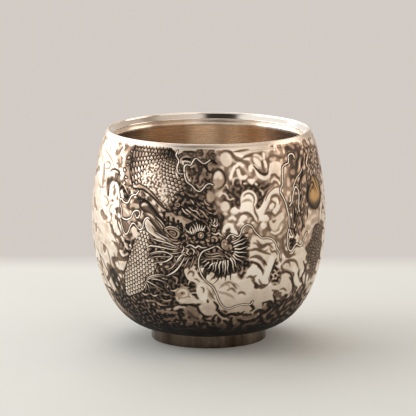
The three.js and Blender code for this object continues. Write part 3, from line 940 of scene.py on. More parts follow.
# Forms of the scales: pitch, width and length in pitches, levels of scales and bed, shade at the edges, seed
UPPER_SCALES = (1.25, 1.05, 1.35, BRIGHT, BROWN, 0.18, 5)
LOWER_SCALES = (1.28, 1.0, 1.35, BRIGHT, DARK, 0.05, 5)
BACK_SCALES = (1.3, 1.05, 1.35, BRIGHT, BROWN, 0.2, 15)
LEG_SCALES = (1.0, 1.05, 1.35, CREAM, BROWN, 0.2, 16)

# Forms of the lumps: level, moat, sag and its width
LUMP_POINTS, LUMP_WOBBLE = 12, 0.22
EDGE_FORM = (CREAM, 0.26, -0.08, 0.5)
BROW_FORM = (TAN, 0.26, 0.26, 0.7)
EYE_FORM = (TAN, 0.24, -0.08, 0.5)
NOSTRIL_FORM = (CREAM, 0.22, 0.4, 0.45)
NOSE_FORM = (TAN, 0.4, 0.1, 1.5)

# Half width and moat of the ribbons
LEFT_WIDTHS, TOP_WIDTHS = (0.21, 0.22), (0.2, 0.24)
FLAME_WIDTHS, WHISKER_WIDTHS = (0.23, 0.28), (0.19, 0.2)
BACK_WIDTHS = (0.22, 0.24)

# Scaled body: spine, half widths along it, and the pebbled patch on it
UPPER_SPINE = (184, 213, 177, 203.5, 167, 192, 157, 180, 150.6, 167, 150, 154)
UPPER_HALVES = (2.4, 4.8, 7.0, 8.8, 9.4, 8.6, 7.2, 6.1)
EDGE_KNOBS = (
    (131.8, 151.4, 1.1), (128.8, 157.6, 1.5), (127.6, 164.6, 1.1), (124.6, 170, 1.5), (126, 177.4, 1.2),
    (124.2, 183, 1.4), (130.4, 187.4, 1.4),
)
PEBBLED = (
    145, 168, 151, 163, 158, 164, 162, 172, 166, 184, 170, 194, 172, 204, 167, 206, 158, 200, 150, 192, 142,
    186, 142, 176,
)
PEBBLE_HIGH, PEBBLE_LOW = -0.05, -0.3
PEBBLE_NOISE = (0.75, 5, 1)
PEBBLE_FROM, PEBBLE_TO = -0.3, 0.2
PEBBLE_REACH, PEBBLE_INSIDE, PEBBLE_OUTSIDE = 1.6, -1.2, 0.6
# Soft shade beside the upper body: level, half width, pixels
BODY_SIDE = (
    (OCHRE, 1.25, (129.6, 148, 127.6, 158, 126.8, 168, 127.4, 177, 130, 186)),
    (BROWN, 0.9, (119, 180, 124, 183.6, 131, 187)),
)
SIDE_SOFT = 0.8
# Painted shade and light: darker and lighter parts of the upper body: pixel, radius, amount
BODY_PAINTED_SHADING = (
    (138, 150, 4.0, -0.1), (152, 149, 4.0, -0.1), (166, 152, 3.6, -0.14), (130, 160, 2.6, -0.08),
    (178, 196, 3.0, -0.06), (140, 176, 4.0, 0.06),
)
LOWER_SPINE = (150, 228, 148, 240, 146, 251, 142, 262, 138, 272, 133.5, 282, 128.6, 292.6)
LOWER_HALVES = (3.4, 4.9, 5.3, 5.3, 4.9, 4.0, 1.4)
NECK = (139, 188, 146, 192, 153, 200, 160, 208.5, 166, 217)
NECK_HALF, NECK_MOAT = 1.25, 0.3
NECK_LINES = (
    (BLACK, 0.3, (130, 186, 136, 188.6, 143, 189.6, 148, 193.4, 153.4, 198, 158.6, 203, 163, 207.6, 168,
        211)),
    (BLACK, 0.46, (137.6, 199, 143.6, 199.4, 148, 202.6, 152, 207.8, 156.8, 213.8, 162, 219.8, 168, 229)),
    (CREAM, 0.4, (133, 186.4, 137, 186.8)), (CREAM, 0.36, (146, 193.6, 149.4, 196)),
    (CREAM, 0.4, (153, 201, 156, 204.4)), (CREAM, 0.36, (158.4, 208.6, 160.6, 211.4)),
    (CREAM, 0.34, (163, 213.4, 165, 216.4)), (DARK, 0.24, (143, 193, 146, 196.4)),
    (DARK, 0.24, (150, 198.4, 151.6, 202)), (DARK, 0.24, (156, 203.8, 158.6, 207.6)),
    (DARK, 0.24, (161, 210, 162.6, 214)), (DARK, 0.24, (147, 197.6, 149.6, 200.6)),
)
SWEEP = (
    139.6, 204, 143.6, 201.6, 148, 203.4, 152, 208.6, 157, 215, 163, 223, 169, 233, 175, 245, 170, 242, 162,
    233, 155, 224, 148, 214, 142, 209,
)
EAR = (144.4, 220, 147, 218.4, 151, 222.6, 156, 229, 161, 236, 166, 241, 160, 239.6, 152, 235, 146.6, 230)
INNER_HORN = (143, 214, 147, 211.6, 151.6, 214.6, 157, 220, 163, 228, 168, 236, 163, 233, 156, 226, 150, 219)
NECK_PATCH = (
    140, 189.4, 146, 193, 152.4, 198.6, 158, 205, 163, 210.8, 167, 218, 163, 218.6, 157, 212, 151, 204, 145.4,
    198, 140, 196,
)
NECK_HIGH = -0.1
# Plates: pixels, level, moat, level of the moat, sag and its width
HORN_PLATES = (
    (SWEEP, BROWN, 0.3, BLACK, -0.14, 1.4),
    (INNER_HORN, TAN, 0.2, DARK, -0.2, 1.2),
    (EAR, BRIGHT, 0.3, BLACK, 0.12, 1.1),
)
HORN_SOFT = 0.3
# Painted shade and highlight on the smooth horn: level, half width, pixels
HORN_PAINTED_SHADING = (
    (NECK_HIGH, 0.5, (141.6, 206, 144.4, 204.2, 147.6, 205.4)),
    (BROWN, 0.5, (152, 226.4, 157, 232.6, 163, 238.4)),
    (DARK, 0.24, (155.6, 228, 160, 233.4, 165, 238.6)),
    (CREAM, 0.3, (147.6, 213.6, 151, 215.4, 154.6, 219)),
)
HORN_LINES = (
    (BRIGHT, 0.17, (155, 216.4, 159, 219.2, 163, 224, 166, 229)),
    (BRIGHT, 0.2, (156, 220, 160.4, 224.4, 164, 230.4, 168.4, 236.6, 174.6, 243.6)),
    (BRIGHT, 0.15, (155, 231.4, 160.6, 235, 166.4, 239.2, 172, 244)),
    (BRIGHT, 0.17, (155, 238, 161, 240.4, 167, 243, 174, 246)),
)
LEFT_RIBBONS = (
    (138.8, 191, 136.4, 194.4, 133.4, 194.8, 131, 197, 129, 201, 127, 203, 124, 202, 122, 199.2, 120.4, 199,
        119.9, 204, 121.4, 209.4, 121.2, 214.6, 122.6, 218, 126.6, 219.6, 130.8, 217.8, 132.6, 213.6, 135,
        210.8, 138.4, 211, 139.8, 214, 138.2, 217.8, 136.2, 217.4, 135.4, 215),
    (120.4, 219.6, 121.8, 225.6, 123.6, 231.4, 126, 234.4, 128.4, 231.6, 130, 226.6, 132.4, 223.4, 134.6,
        223.8, 137, 227, 140, 229.8, 142.6, 228, 143.6, 223.4, 145, 219.4, 147.6, 217.6, 149.4, 218.8),
)
LEFT_LEAVES = (
    (TAN, (130.4, 206, 132, 203.4, 136, 203.8, 138.6, 208, 136, 207, 133, 207.4)),
    (TAN, (121, 203.4, 124, 205, 127, 208.6, 130.4, 213, 129.6, 216.4, 125.6, 216.4, 122.6, 211.4)),
    (CREAM, (131.2, 229.6, 133.6, 226.4, 136.6, 229.6, 137.8, 235.6, 135, 238, 132.4, 234.6)),
    (BROWN, (122, 221.4, 126, 221.6, 129, 224.6, 127.4, 231, 125.6, 232.4, 123.4, 227.6)),
    (TAN, (132.6, 212.8, 135, 212, 135.4, 216, 133.2, 219, 130.8, 221)),
)
LEAF_SOFT = 0.18
LEFT_BITS = (
    (CREAM, 0.22, (121.2, 183, 124.4, 186, 126.2, 189.6, 127.8, 194.4)),
    (TAN, 0.34, (126, 186.4, 131, 189, 136, 191.6, 139.4, 193.4)),
    (CREAM, 0.26, (123.6, 208, 126.6, 211.8, 128.6, 215)),
    (CREAM, 0.4, (138, 222, 140.4, 224.4, 141, 226.6)),
    (TAN, 0.3, (129.4, 221, 131, 219.4, 134, 220.6)),
)
TOP_RIBBONS = (
    (178, 150.6, 176.2, 155, 178.8, 161, 177, 167.6, 178.2, 172.6, 182, 173.8, 184.2, 172.8, 184.2, 167,
        186.8, 164.4, 190.4, 165.2, 192.8, 161.6, 196, 158, 199.8, 161, 203.8, 163.4, 207.6, 161.8, 210,
        159.8),
    (184.4, 173.6, 186, 180.4, 189, 183.6, 192, 185.6, 195.4, 189.6, 199.6, 191.4, 203, 188.8, 206.2, 185,
        209.4, 183.4, 213.2, 184.8),
)
TOP_BITS = (
    (BRIGHT, 0.3, (177, 168.6, 176.4, 173, 177.4, 178)),
    (BRIGHT, 0.24, (184.6, 165.6, 182.8, 163.4, 184.4, 161, 188.6, 161.4, 192.4, 163)),
    (CREAM, 0.2, (186.4, 173, 188, 178.4, 191.4, 182)),
    (TAN, 0.26, (196, 184, 198.4, 186.4, 201.4, 186.6, 204.4, 182.4)),
)
TOP_DARKS = (
    (BLACK, 0.62, (182.6, 159, 187, 159.4, 191, 159)), (DARK, 0.5, (194.6, 168.6, 194, 172.6, 196.6, 174.4)),
    (BLACK, 0.42, (203.6, 164.4, 206.4, 168, 208.4, 171.6)),
    (BLACK, 0.36, (209.6, 159, 213.4, 161.2, 217.4, 164.2)),
    (DARK, 0.4, (199.6, 162.4, 198.4, 167, 199.6, 171)),
    (DARK, 0.32, (187.4, 169.4, 190.6, 171.6, 192.4, 176)),
    (BROWN, 0.4, (201.4, 174, 205, 176.6, 209.4, 178)),
)
HEAD_GROUND = (
    176, 194, 190, 191, 206, 202, 217, 214, 222, 236, 226, 262, 196, 266, 176, 264, 152, 258, 150, 236, 161,
    216, 170, 206,
)
BROW = (163.6, 213, 168, 212.4, 172.6, 212.6, 176.6, 215.6, 181, 215, 185, 217.6, 190, 219.4, 196, 223, 199.4,
        222, 201, 219, 205, 221, 208, 225, 206, 227, 202.6, 224.6, 198, 224.6, 193, 226.4, 188, 226, 185.4,
        229.6, 183.4, 233, 182.4, 229.6, 178.6, 224.6, 173, 221.6, 168, 220.6)
BROW_PLATE = (BROW, TAN, 0.35, BLACK, -0.1, 0.8)
BROW_MOAT = 0.26
BROW_LINES = (
    (BROWN, 0.42, (184, 191, 188, 194.6, 192.6, 196.4, 196, 199.4)),
    (TAN, 0.36, (190, 197.6, 194, 199.6, 197, 203.4, 201, 206)),
    (CREAM, 0.2, (190, 199.4, 192.4, 201.6, 194, 204.6)), (TAN, 0.3, (204, 199, 206, 203.4, 210, 205.6)),
    (CREAM, 0.26, (181.6, 207.4, 183.6, 211, 186.6, 213.6, 189, 214.4)),
    (CREAM, 0.26, (180, 203.6, 184, 207.4, 188, 210.8, 193.4, 215, 197.4, 218, 200.6, 220.4)),
    (CREAM, 0.22, (187.2, 207.2, 190, 208, 192.4, 210.2, 196, 211, 198.6, 214, 200.6, 217)),
    (TAN, 0.34, (199, 209.6, 203, 212.4, 206, 216.4, 209, 219)),
    (TAN, 0.3, (203.4, 208.8, 208, 211.6, 212.6, 214)),
)
BROW_DARKS = (
    (BLACK, 0.42, (185.6, 194.6, 189.6, 198, 194.8, 199.8, 196.6, 204.2, 200.4, 207.4, 205, 210.2, 210, 212)),
    (BLACK, 0.3, (182, 206.8, 185.4, 208.4, 189.6, 206.2, 193.4, 206.6, 197.4, 208.6)),
    (BLACK, 0.4, (164.4, 213.6, 164, 218, 162.6, 224)), (BLACK, 0.42, (168.2, 217.4, 168.8, 221, 167.4, 226)),
    (BLACK, 0.42, (173.4, 218.6, 174, 222.4, 172.6, 227)),
    (BLACK, 0.42, (178, 221, 178.8, 225.4, 177.8, 230)), (BLACK, 0.5, (181, 224, 182.4, 229, 181.8, 236)),
    (BLACK, 0.34, (186.4, 224.6, 186, 228.6, 187.4, 232)), (BLACK, 0.3, (201, 221, 203.6, 224, 206.4, 229)),
    (BROWN, 0.24, (170.6, 215, 175, 218)), (BROWN, 0.24, (183, 219, 188, 221.6, 193, 224)),
    (BROWN, 0.3, (191, 213.6, 195.6, 217.6, 199.6, 219.6)),
)
BROW_RINGS = ((177.4, 205, 2.4), (180, 213, 1.7), (182.4, 193.6, 1.8), (176, 197, 1.4))
LEFT_LID = (164, 229.4, 169, 227.6, 175, 228.4, 179.4, 231.8, 179, 236.6, 175, 238.8, 170, 235.6)
LEFT_SOCKET = (166.6, 230.2, 170, 229.6, 174.6, 230.4, 177.6, 233.4, 176, 236.8, 172, 235.2)
LEFT_BALL = (169.4, 231.4, 172.4, 230.9, 175.6, 233, 175.2, 235.6, 172.4, 234.8)
LID_PLATE = (LEFT_LID, TAN, 0.4)
BALL_PLATE = (LEFT_BALL, CREAM, 0.1, BLACK, 0.3, 0.45)
LEFT_CREASES = (
    (CREAM, 0.22, (163.6, 228.8, 169, 226.8, 175, 227.6, 180, 231)),
    (TAN, 0.3, (168, 237.6, 173, 240, 178, 240.4)),
    (TAN, 0.3, (172, 242.6, 177, 243.4, 181, 242)),
    (TAN, 0.42, (184.6, 233.6, 187.4, 236.6, 186.4, 240.6)),
    (TAN, 0.3, (190.4, 237.4, 191, 241, 194, 243.4)),
)
RIGHT_PATCH = (
    186, 226, 190, 222.6, 196, 220.6, 203, 221.6, 207.4, 226.4, 206, 232.4, 206, 239, 200, 241, 196, 237, 195,
    232.6, 188.6, 234,
)
PATCH_SOFT = 0.25
BASE_HALF, BASE_MOAT = 0.42, 0.2
LASH_HALF, LASH_MOAT, LASH_SOFT = 0.3, 0.16, 0.07
LASH_BASE = (187.4, 231.4, 190.6, 233.6, 194.4, 232.6, 197.6, 230.4, 201.4, 229.6, 204.6, 231)
LASHES = (
    (189.6, 232.6, 186.4, 230.6, 185, 227.4), (191.4, 233, 190, 230.4, 190.4, 227),
    (193.4, 232.6, 192.8, 229, 190.8, 226.2), (195.2, 231.8, 195.2, 227.6, 193, 223.6),
    (196.8, 231, 197.6, 226.6, 196, 221.8), (198.6, 230.4, 199.6, 227, 199.2, 224),
    (200.4, 230.2, 201.8, 227.4, 202.2, 224.2), (202.2, 230.2, 204.4, 227.8, 205.4, 224.6),
)
# The right eye: centre, then radius in pixels and points of its socket, ball and pupil
RIGHT_BALL = (200.9, 235.4)
SOCKET_CIRCLE, BALL_CIRCLE, PUPIL_CIRCLE = (4.2, 16), (3.1, 14), (1.3, 10)
SOCKET_SOFT = 0.18
BALL_FORM = (CREAM, 0.15, BLACK, 0.26, 0.42)
PUPIL_FORM = (CREAM, 0.12, DARK)
EYE_LUMPS = (
    (194.2, 238, 1.7), (197, 242, 1.6), (202.4, 242.4, 2.0), (207.6, 240.6, 2.0), (209, 235.4, 1.6),
    (189.6, 238.4, 1.6), (187.4, 243, 1.5), (212.6, 240.2, 1.9), (214.4, 235.6, 1.5), (181, 246.6, 1.5),
)
SNOUT_LINES = (
    (BRIGHT, 0.36, (210, 222.4, 213, 224.8, 216.4, 225.8, 218, 223)),
    (BRIGHT, 0.17, (213, 224.4, 214.8, 221, 214.6, 218)),
    (CREAM, 0.15, (215.6, 225, 217.2, 221.6, 216.6, 218)),
    (CREAM, 0.15, (211.6, 223.6, 211.8, 220.4, 210.4, 218.4)),
    (CREAM, 0.3, (211.4, 232.6, 214, 234.2, 216.4, 234.4, 218.4, 233, 221, 235.4, 224, 236.4)),
    (TAN, 0.3, (207, 226, 209, 229, 210, 232)), (TAN, 0.4, (211, 238, 214, 237, 217, 239, 216, 242)),
    (CREAM, 0.26, (205, 249.9, 208.4, 249.7, 211.6, 247.3, 215.2, 246.2, 218.3, 246.8, 220.3, 248.9, 223,
        250.6)),
    (BRIGHT, 0.24, (186, 247, 189.4, 244.8, 192.5, 246, 195.6, 247.8, 198.6, 246, 201.7, 247.6, 207.4,
        247.2)),
    (CREAM, 0.26, (185, 248, 188.4, 250, 186.6, 253, 190, 255.4)),
    (CREAM, 0.24, (190.4, 248, 194, 250.6, 193.2, 255)), (TAN, 0.24, (196, 250, 198.6, 253, 197, 257)),
    (TAN, 0.3, (205, 253.4, 211, 254.4, 217, 253.4, 221.6, 254.6)),
    (CREAM, 0.18, (206, 256.6, 212, 257, 219, 255.8, 225, 257)),
    (TAN, 0.26, (203.6, 259, 209, 259.4, 216, 258.6, 222, 259.4)),
)
NOSTRIL_RING = (213.9, 229.8, 1.9)
NOSE = (226.2, 245.4, 5.2)
NOSE_MARKS = (
    (BROWN, 0.34, (222.6, 243, 224.6, 241.6)), (DARK, 0.34, (227, 242.6, 229.4, 244.8)),
    (BROWN, 0.3, (223.6, 247, 225.6, 248.6)), (DARK, 0.34, (228, 248, 229.8, 250)),
    (BRIGHT, 0.24, (225, 244.6, 226, 244)), (BROWN, 0.26, (225.4, 250, 227.6, 249.6)),
)
BEARD_GROUND = (
    233, 239, 240, 234, 245, 236, 248, 244, 244.6, 254, 238, 262.6, 231.6, 270, 224, 274, 212, 272, 203, 266,
    200, 257, 210, 259.6, 222, 258.6, 231, 252.6, 232, 245,
)
BEARD_ROOT_STRANDS = (
    (TAN, 0.2, (229, 243, 233, 240, 238, 236)), (CREAM, 0.17, (229.6, 245, 234, 243, 239.4, 239.6)),
    (TAN, 0.2, (229.6, 248, 234, 247.6, 239.4, 246)), (CREAM, 0.17, (229, 250.6, 233.6, 251.6, 238.6, 251.4)),
    (TAN, 0.2, (227.6, 253, 231, 255.6, 235, 257)), (CREAM, 0.17, (224.6, 254.6, 227.6, 257.6, 231.4, 260.4)),
    (TAN, 0.2, (220.6, 255.6, 223, 259, 225, 262.6)), (CREAM, 0.17, (216.6, 256.4, 217.6, 260, 217.4, 264)),
    (TAN, 0.2, (212.6, 257, 212.6, 260.6, 211, 264)), (CREAM, 0.17, (208.6, 257, 207.4, 260, 204.4, 262.6)),
)
BEARD_STRANDS = (
    (CREAM, 0.24, (232.6, 242.6, 237.4, 239.4, 242.6, 235.4, 247, 233.4)),
    (BRIGHT, 0.24, (233.6, 244.4, 239, 241.4, 243.6, 239, 246.4, 236.6)),
    (BRIGHT, 0.26, (234.4, 246.6, 239.4, 244.6, 243.4, 243, 248.4, 240.2)),
    (BRIGHT, 0.28, (234.6, 248.8, 240, 248.6, 244.6, 247.4, 249.6, 246.8)),
    (BRIGHT, 0.28, (234.6, 251, 239.6, 252.2, 243.4, 251.8, 247.4, 252.8)),
    (BRIGHT, 0.26, (233.6, 253.4, 238.4, 255.8, 242.6, 256.4, 247.4, 258.6)),
    (BRIGHT, 0.26, (232.6, 255.4, 236, 259.2, 240, 260.8, 243.6, 264)),
    (BRIGHT, 0.26, (231, 257.4, 234.4, 261.4, 236.4, 265.4, 239.4, 269.6)),
    (BRIGHT, 0.3, (229.6, 259, 232, 263.4, 232.4, 268, 234.4, 272.4)),
    (BRIGHT, 0.27, (227.4, 260.4, 228.8, 265, 228.2, 269.6, 229, 274.4)),
    (BRIGHT, 0.3, (225.4, 261.2, 225.6, 266, 224.2, 270.4, 225, 277)),
    (BRIGHT, 0.24, (223, 262, 222.4, 266, 223, 270, 222.2, 273.4)),
    (BRIGHT, 0.3, (220.6, 262.4, 219, 266.6, 219.6, 270.4, 218.4, 275)),
    (BRIGHT, 0.27, (217.8, 262.6, 216, 266, 215.8, 269.4, 213.6, 272.6)),
    (BRIGHT, 0.24, (215, 263, 213.4, 265.8, 213, 268.6, 211, 271)),
    (BRIGHT, 0.27, (212, 262.8, 209.8, 265, 209, 268, 206, 270)),
    (BRIGHT, 0.24, (209, 262.4, 206.4, 264.4, 204.6, 266.8, 202, 267.6)),
    (CREAM, 0.24, (206, 261, 203.4, 262.4, 201, 263.6)), (CREAM, 0.2, (204, 258.8, 201.6, 260, 199.6, 260)),
)
BEARD_SEED, BEARD_BEND = 3, 0.9
BEARD_SOFT, ROOT_MOAT = 0.5, 0.16
BEARD_GAPS = (
    (BLACK, 0.34, (246, 241.6, 250.4, 243.4)), (BLACK, 0.36, (244.6, 255.2, 249, 256.6)),
    (BLACK, 0.4, (240, 262.6, 242.6, 267)), (BLACK, 0.4, (236, 266, 236.4, 273)),
    (BLACK, 0.42, (230.6, 268, 230.4, 280)), (BLACK, 0.4, (226.8, 270, 225.2, 281)),
    (BLACK, 0.42, (220.8, 272, 221.6, 279)), (BLACK, 0.4, (216, 270, 214.6, 277)),
    (BLACK, 0.4, (211, 269, 208.6, 275)), (BLACK, 0.38, (206, 267.4, 203, 271.4)),
)
BEARD_LASH = (219.4, 275.6, 217.6, 280, 213.4, 284)
BEARD_LASH_HALF = 0.24
MANE_MOAT = 0.18
MANE = (
    (BRIGHT, 0.21, (180, 248, 173, 245.4, 166, 242.6, 158, 240.6, 150, 238)),
    (BRIGHT, 0.22, (179, 250, 171, 249.4, 165, 248, 157, 246.6, 150, 246, 145, 249)),
    (CREAM, 0.2, (182, 252, 174, 253.6, 166, 252.6, 157, 253, 149, 255)),
    (CREAM, 0.15, (184, 254, 177, 256.6, 168, 257, 158, 256.6, 148, 258)),
    (BRIGHT, 0.2, (181, 247.4, 175, 243.4, 168, 239, 162, 236, 155, 231.6)),
    (CREAM, 0.16, (181, 249, 174, 247.4, 166, 245.6, 160, 244)),
    (CREAM, 0.18, (183, 256, 178.6, 261, 173.4, 266.6, 168, 269)),
    (BRIGHT, 0.24, (185, 256.6, 181, 264, 175, 271.4, 166, 276.4)),
    (CREAM, 0.18, (174, 257, 175.6, 262, 172, 267.6, 166, 270)),
    (BRIGHT, 0.2, (149, 254, 156, 252, 165, 252, 172, 256, 167, 261, 160, 262.4, 154, 262)),
    (BRIGHT, 0.22, (186.6, 256, 183, 254.4, 179, 258, 176, 263)),
    (CREAM, 0.22, (180, 244, 184, 248, 182, 253, 187, 252)), (CREAM, 0.16, (190, 257, 187, 262, 184, 268)),
    (TAN, 0.22, (194, 256, 192, 263, 189, 269)),
)
WHISKERS = (
    (226.4, 239, 229.6, 235, 233.4, 234.8, 237.6, 236.6, 240.4, 234, 241.8, 229.4, 244.8, 225.6, 248.4,
        224.8, 252, 226.8, 255, 231.4, 258.7, 235.4, 262.4, 238, 267, 237.8, 272, 239, 275.4, 242.6, 277,
        248, 279.8, 252.6, 280.4, 258.6),
    (215, 246.4, 209, 249, 203, 251.5, 199.5, 257, 198.5, 264.5, 201, 274, 206.4, 281.6, 212.6, 287, 216.4,
        294, 219.6, 302, 224, 307.4, 229.4, 308.4, 236, 306.4, 243, 304.6, 249.6, 304.8, 253, 301.6),
)
TUFT = (
    (BRIGHT, 0.26, (146, 279, 153, 275.6, 162, 275, 170, 277)),
    (BRIGHT, 0.26, (146, 280, 154, 279, 163, 281.6, 170, 286)),
    (BRIGHT, 0.24, (146, 281, 152, 283.6, 158, 289, 163, 295)),
    (CREAM, 0.24, (145.5, 282, 148.5, 286.6, 150, 293)), (CREAM, 0.22, (147, 279.5, 157, 276.6, 168, 278.6)),
    (CREAM, 0.2, (145, 283, 146, 288, 145, 293)), (BRIGHT, 0.24, (147, 281, 155, 285.6, 165, 291)),
)
FLAME_STRANDS = (
    (CREAM, 0.24, (303.4, 164, 301, 171.4, 296.6, 178, 293.4, 187, 292.4, 195, 291.8, 203)),
    (TAN, 0.22, (302, 178, 300.4, 186, 303, 194, 301, 203, 302, 211)),
    (CREAM, 0.22, (295.4, 186.4, 297.6, 190, 299.4, 197, 299.6, 205, 297.4, 213, 295.6, 221)),
    (TAN, 0.24, (292.6, 205, 293.4, 212, 292.4, 220, 293.4, 229)),
    (TAN, 0.24, (296.4, 214, 298.4, 221, 297, 228.6, 299.4, 235)),
    (TAN, 0.22, (303.4, 204, 305.4, 211, 303.4, 219, 304.4, 227)),
    (TAN, 0.2, (306, 168, 308, 177, 306, 185, 308, 193)), (TAN, 0.22, (289.6, 215, 290.8, 223.4, 290.4, 231)),
)
FLAME_DARKS = (
    (BLACK, 0.5, (303.6, 157, 301.4, 166, 302.6, 174, 299.6, 183, 300.6, 192)),
    (BLACK, 0.4, (298.4, 190, 301, 199, 300, 208, 301.4, 216)),
    (BLACK, 0.34, (296, 224, 294.6, 231, 296, 236)), (BLACK, 0.34, (301.4, 218, 303, 225, 301, 232)),
    (BLACK, 0.3, (306.6, 206, 308, 213, 307, 219)), (BLACK, 0.34, (294, 206, 295, 214, 294.4, 221)),
    (BLACK, 0.4, (306, 150, 308, 158, 307.4, 166)), (DARK, 0.5, (300, 150, 298.6, 157, 296.6, 164, 296, 172)),
)
FLAMES = (
    (294.4, 158, 293.4, 155, 290.6, 153.4, 288, 156, 288.4, 162.6, 285, 164.4, 282.3, 168, 282.4, 176, 282.7,
        184, 280, 190.5, 283, 197, 286, 203.4, 287.6, 210, 289, 216, 289.2, 226, 291.4, 234.6),
    (289, 229, 287.6, 236, 287.2, 243, 289, 249.5, 291.5, 251, 294, 247, 296.5, 244, 300, 246, 302.5, 243,
        303.4, 239, 306.6, 232.5),
    (289.6, 206, 292.2, 201, 293.2, 193.6, 295.4, 187, 298, 189.6, 299, 197, 298.4, 205, 299.4, 211.6),
)
FLAME_POCKET = (289.5, 239, 292.5, 238, 296, 240, 295, 244, 292, 248, 289.8, 246)
FLAME_GROUND = (
    292, 152, 300, 150, 306, 162, 307, 180, 308, 200, 306, 215, 300, 230, 294, 215, 292, 190, 294, 172,
)
FLAME_HIGH, FLAME_LOW, FLAME_SOFT = -0.12, -0.32, 0.14
SMOKE_LOW = -0.36
SMOKE = (284, 146, 298, 143, 301, 150, 298, 160, 295, 178, 290, 178, 289, 156)
PEARL = (
    308.6, 190, 310, 181, 313.4, 175.6, 317.6, 180, 320.4, 190, 320.4, 200, 317, 207, 311.8, 206.4, 308.6,
    199,
)
# Painted shade on the pearl, above and below its bright middle
PEARL_TOP_SHADE = (309, 184, 311, 178, 314, 175, 318, 180, 319, 185, 314, 187)
PEARL_FOOT_SHADE = (309, 200, 314, 202, 320, 199, 319, 206, 315, 208.6, 310.6, 206.6)
PEARL_FORM = (TAN, 0.5, BLACK, -0.22, 3.4)
PEARL_TOP_SOFT, PEARL_FOOT_SOFT = 1.6, 1.4
GILT_SHARE, GILT_REACH, GILT_FULL = 0.85, 2.0, -1.2
PEARL_TWIGS = (
    (BLACK, 0.24, (310.4, 176, 311.4, 182, 309.6, 188)), (BLACK, 0.22, (312, 180, 313.6, 185, 312, 191)),
    (BLACK, 0.22, (313.6, 176, 316, 182, 318, 190)), (TAN, 0.24, (311, 172, 312.4, 179, 311, 185)),
    (TAN, 0.24, (312.6, 178, 315, 184.6, 317, 190)), (BLACK, 0.26, (303, 148, 306, 155, 305, 163, 308, 170)),
    (BLACK, 0.26, (309, 146, 312, 154, 310, 162, 313, 170)), (BLACK, 0.3, (315, 150, 317.6, 160, 317, 170)),
    (CREAM, 0.24, (304.6, 148, 307.6, 155, 306.6, 163, 309.6, 169)),
    (TAN, 0.24, (310.8, 147, 313.6, 155, 312, 163)), (CREAM, 0.26, (317, 150, 320, 160, 321.6, 170)),
    (TAN, 0.3, (316, 172, 320.4, 182, 322, 193, 321.4, 203)),
    (BLACK, 0.3, (306, 176, 308, 186, 307, 196, 308.4, 206)),
    (BLACK, 0.24, (308.6, 190, 310.6, 184, 313, 182, 315, 187, 317.4, 192.6)),
    (BLACK, 0.2, (310.4, 192, 312.6, 186.6, 314.4, 189, 315.6, 193.6)),
)
DARK_CORNER = (
    146, 284, 152, 276, 166, 268, 182, 266, 192, 272, 196, 281, 194, 290, 184, 290, 175, 297, 178, 304, 168,
    306, 150, 300, 140, 302, 138, 292,
)
CORNER_CURLS = (
    (CREAM, (184, 271, 188, 267.6, 193, 267.6, 197, 271, 199, 276.6, 203.6, 281, 199, 284.6, 193, 282, 187.6,
        279.6)),
    (TAN, (175, 292, 180, 287.6, 186, 287.6, 190, 292, 188, 297.6, 182, 299, 177, 297)),
)
CURL_LINES = (
    (BROWN, 0.4, (187.6, 274.4, 190.4, 271.4, 193.6, 273, 193, 276.6)),
    (BROWN, 0.3, (194, 279, 197, 279.6, 199.6, 282)),
    (CREAM, 0.36, (177.6, 293, 181.6, 290, 186, 291.4, 186.4, 295, 182, 296.6)),
    (DARK, 0.3, (181, 293.6, 183.6, 293.4)),
)
CORNER_LIGHTS = (
    (CREAM, 0.24, (158, 274, 162, 278, 168, 279.6)), (CREAM, 0.24, (164, 282, 168, 284.6, 167, 288)),
    (TAN, 0.3, (172, 276, 177, 279, 176, 284)), (CREAM, 0.26, (170, 290, 174, 291, 178, 288.6)),
    (TAN, 0.3, (158, 291, 164, 294.6, 170, 295)), (CREAM, 0.24, (186, 275, 190, 279, 188, 285)),
    (TAN, 0.3, (180, 283, 184, 287, 190, 288)), (CREAM, 0.26, (141, 291, 144, 294.6, 148, 295)),
    (CREAM, 0.22, (150, 293, 154, 296, 158, 295)), (TAN, 0.3, (160, 299, 166, 301, 172, 300)),
)


# The back, in degrees round the cup and millimetres up its side
BACK_SPINE = (
    66, 43, 84, 37, 104, 30, 128, 27, 152, 32, 174, 41, 196, 46, 218, 45, 234, 38, 246, 29, 262, 25, 274, 28,
)
BACK_HALVES = (2.8, 4.2, 5.6, 6.4, 6.8, 6.8, 6.4, 5.6, 4.6, 3.4, 2.0, 0.8)
# Fins of the back: count, shares of the spine, length and lean in millimetres, and the form of each
BACK_FINS, FIN_FROM, FIN_TO, FIN_AHEAD = 34, 0.04, 0.94, 0.01
FIN_REACH, FIN_LEAN, FIN_ROOT = 2.6, 1.5, 0.8
MIDDLE_REACH, MIDDLE_LEAN = 0.5, 0.3
FIN_STEP, FIN_HALF, FIN_MOAT = 0.3, 0.6, 0.24
BODY_COVER = (59.6, 40, 63, 44.6, 69, 46, 75, 44.6, 78, 40, 76, 33, 70, 27, 64, 29, 60, 34)
COVER_HIGH, COVER_LOW, COVER_SOFT = -0.18, -0.38, 1.6
START_KNOBS = (
    (77, 47.6, 2.2), (82, 44.6, 2.8), (78.6, 40.4, 2.4), (86, 40, 2.4), (80.6, 35.4, 2.8), (87.6, 34.6, 2.0),
    (76, 30.6, 2.2), (83.6, 30.4, 2.4),
)
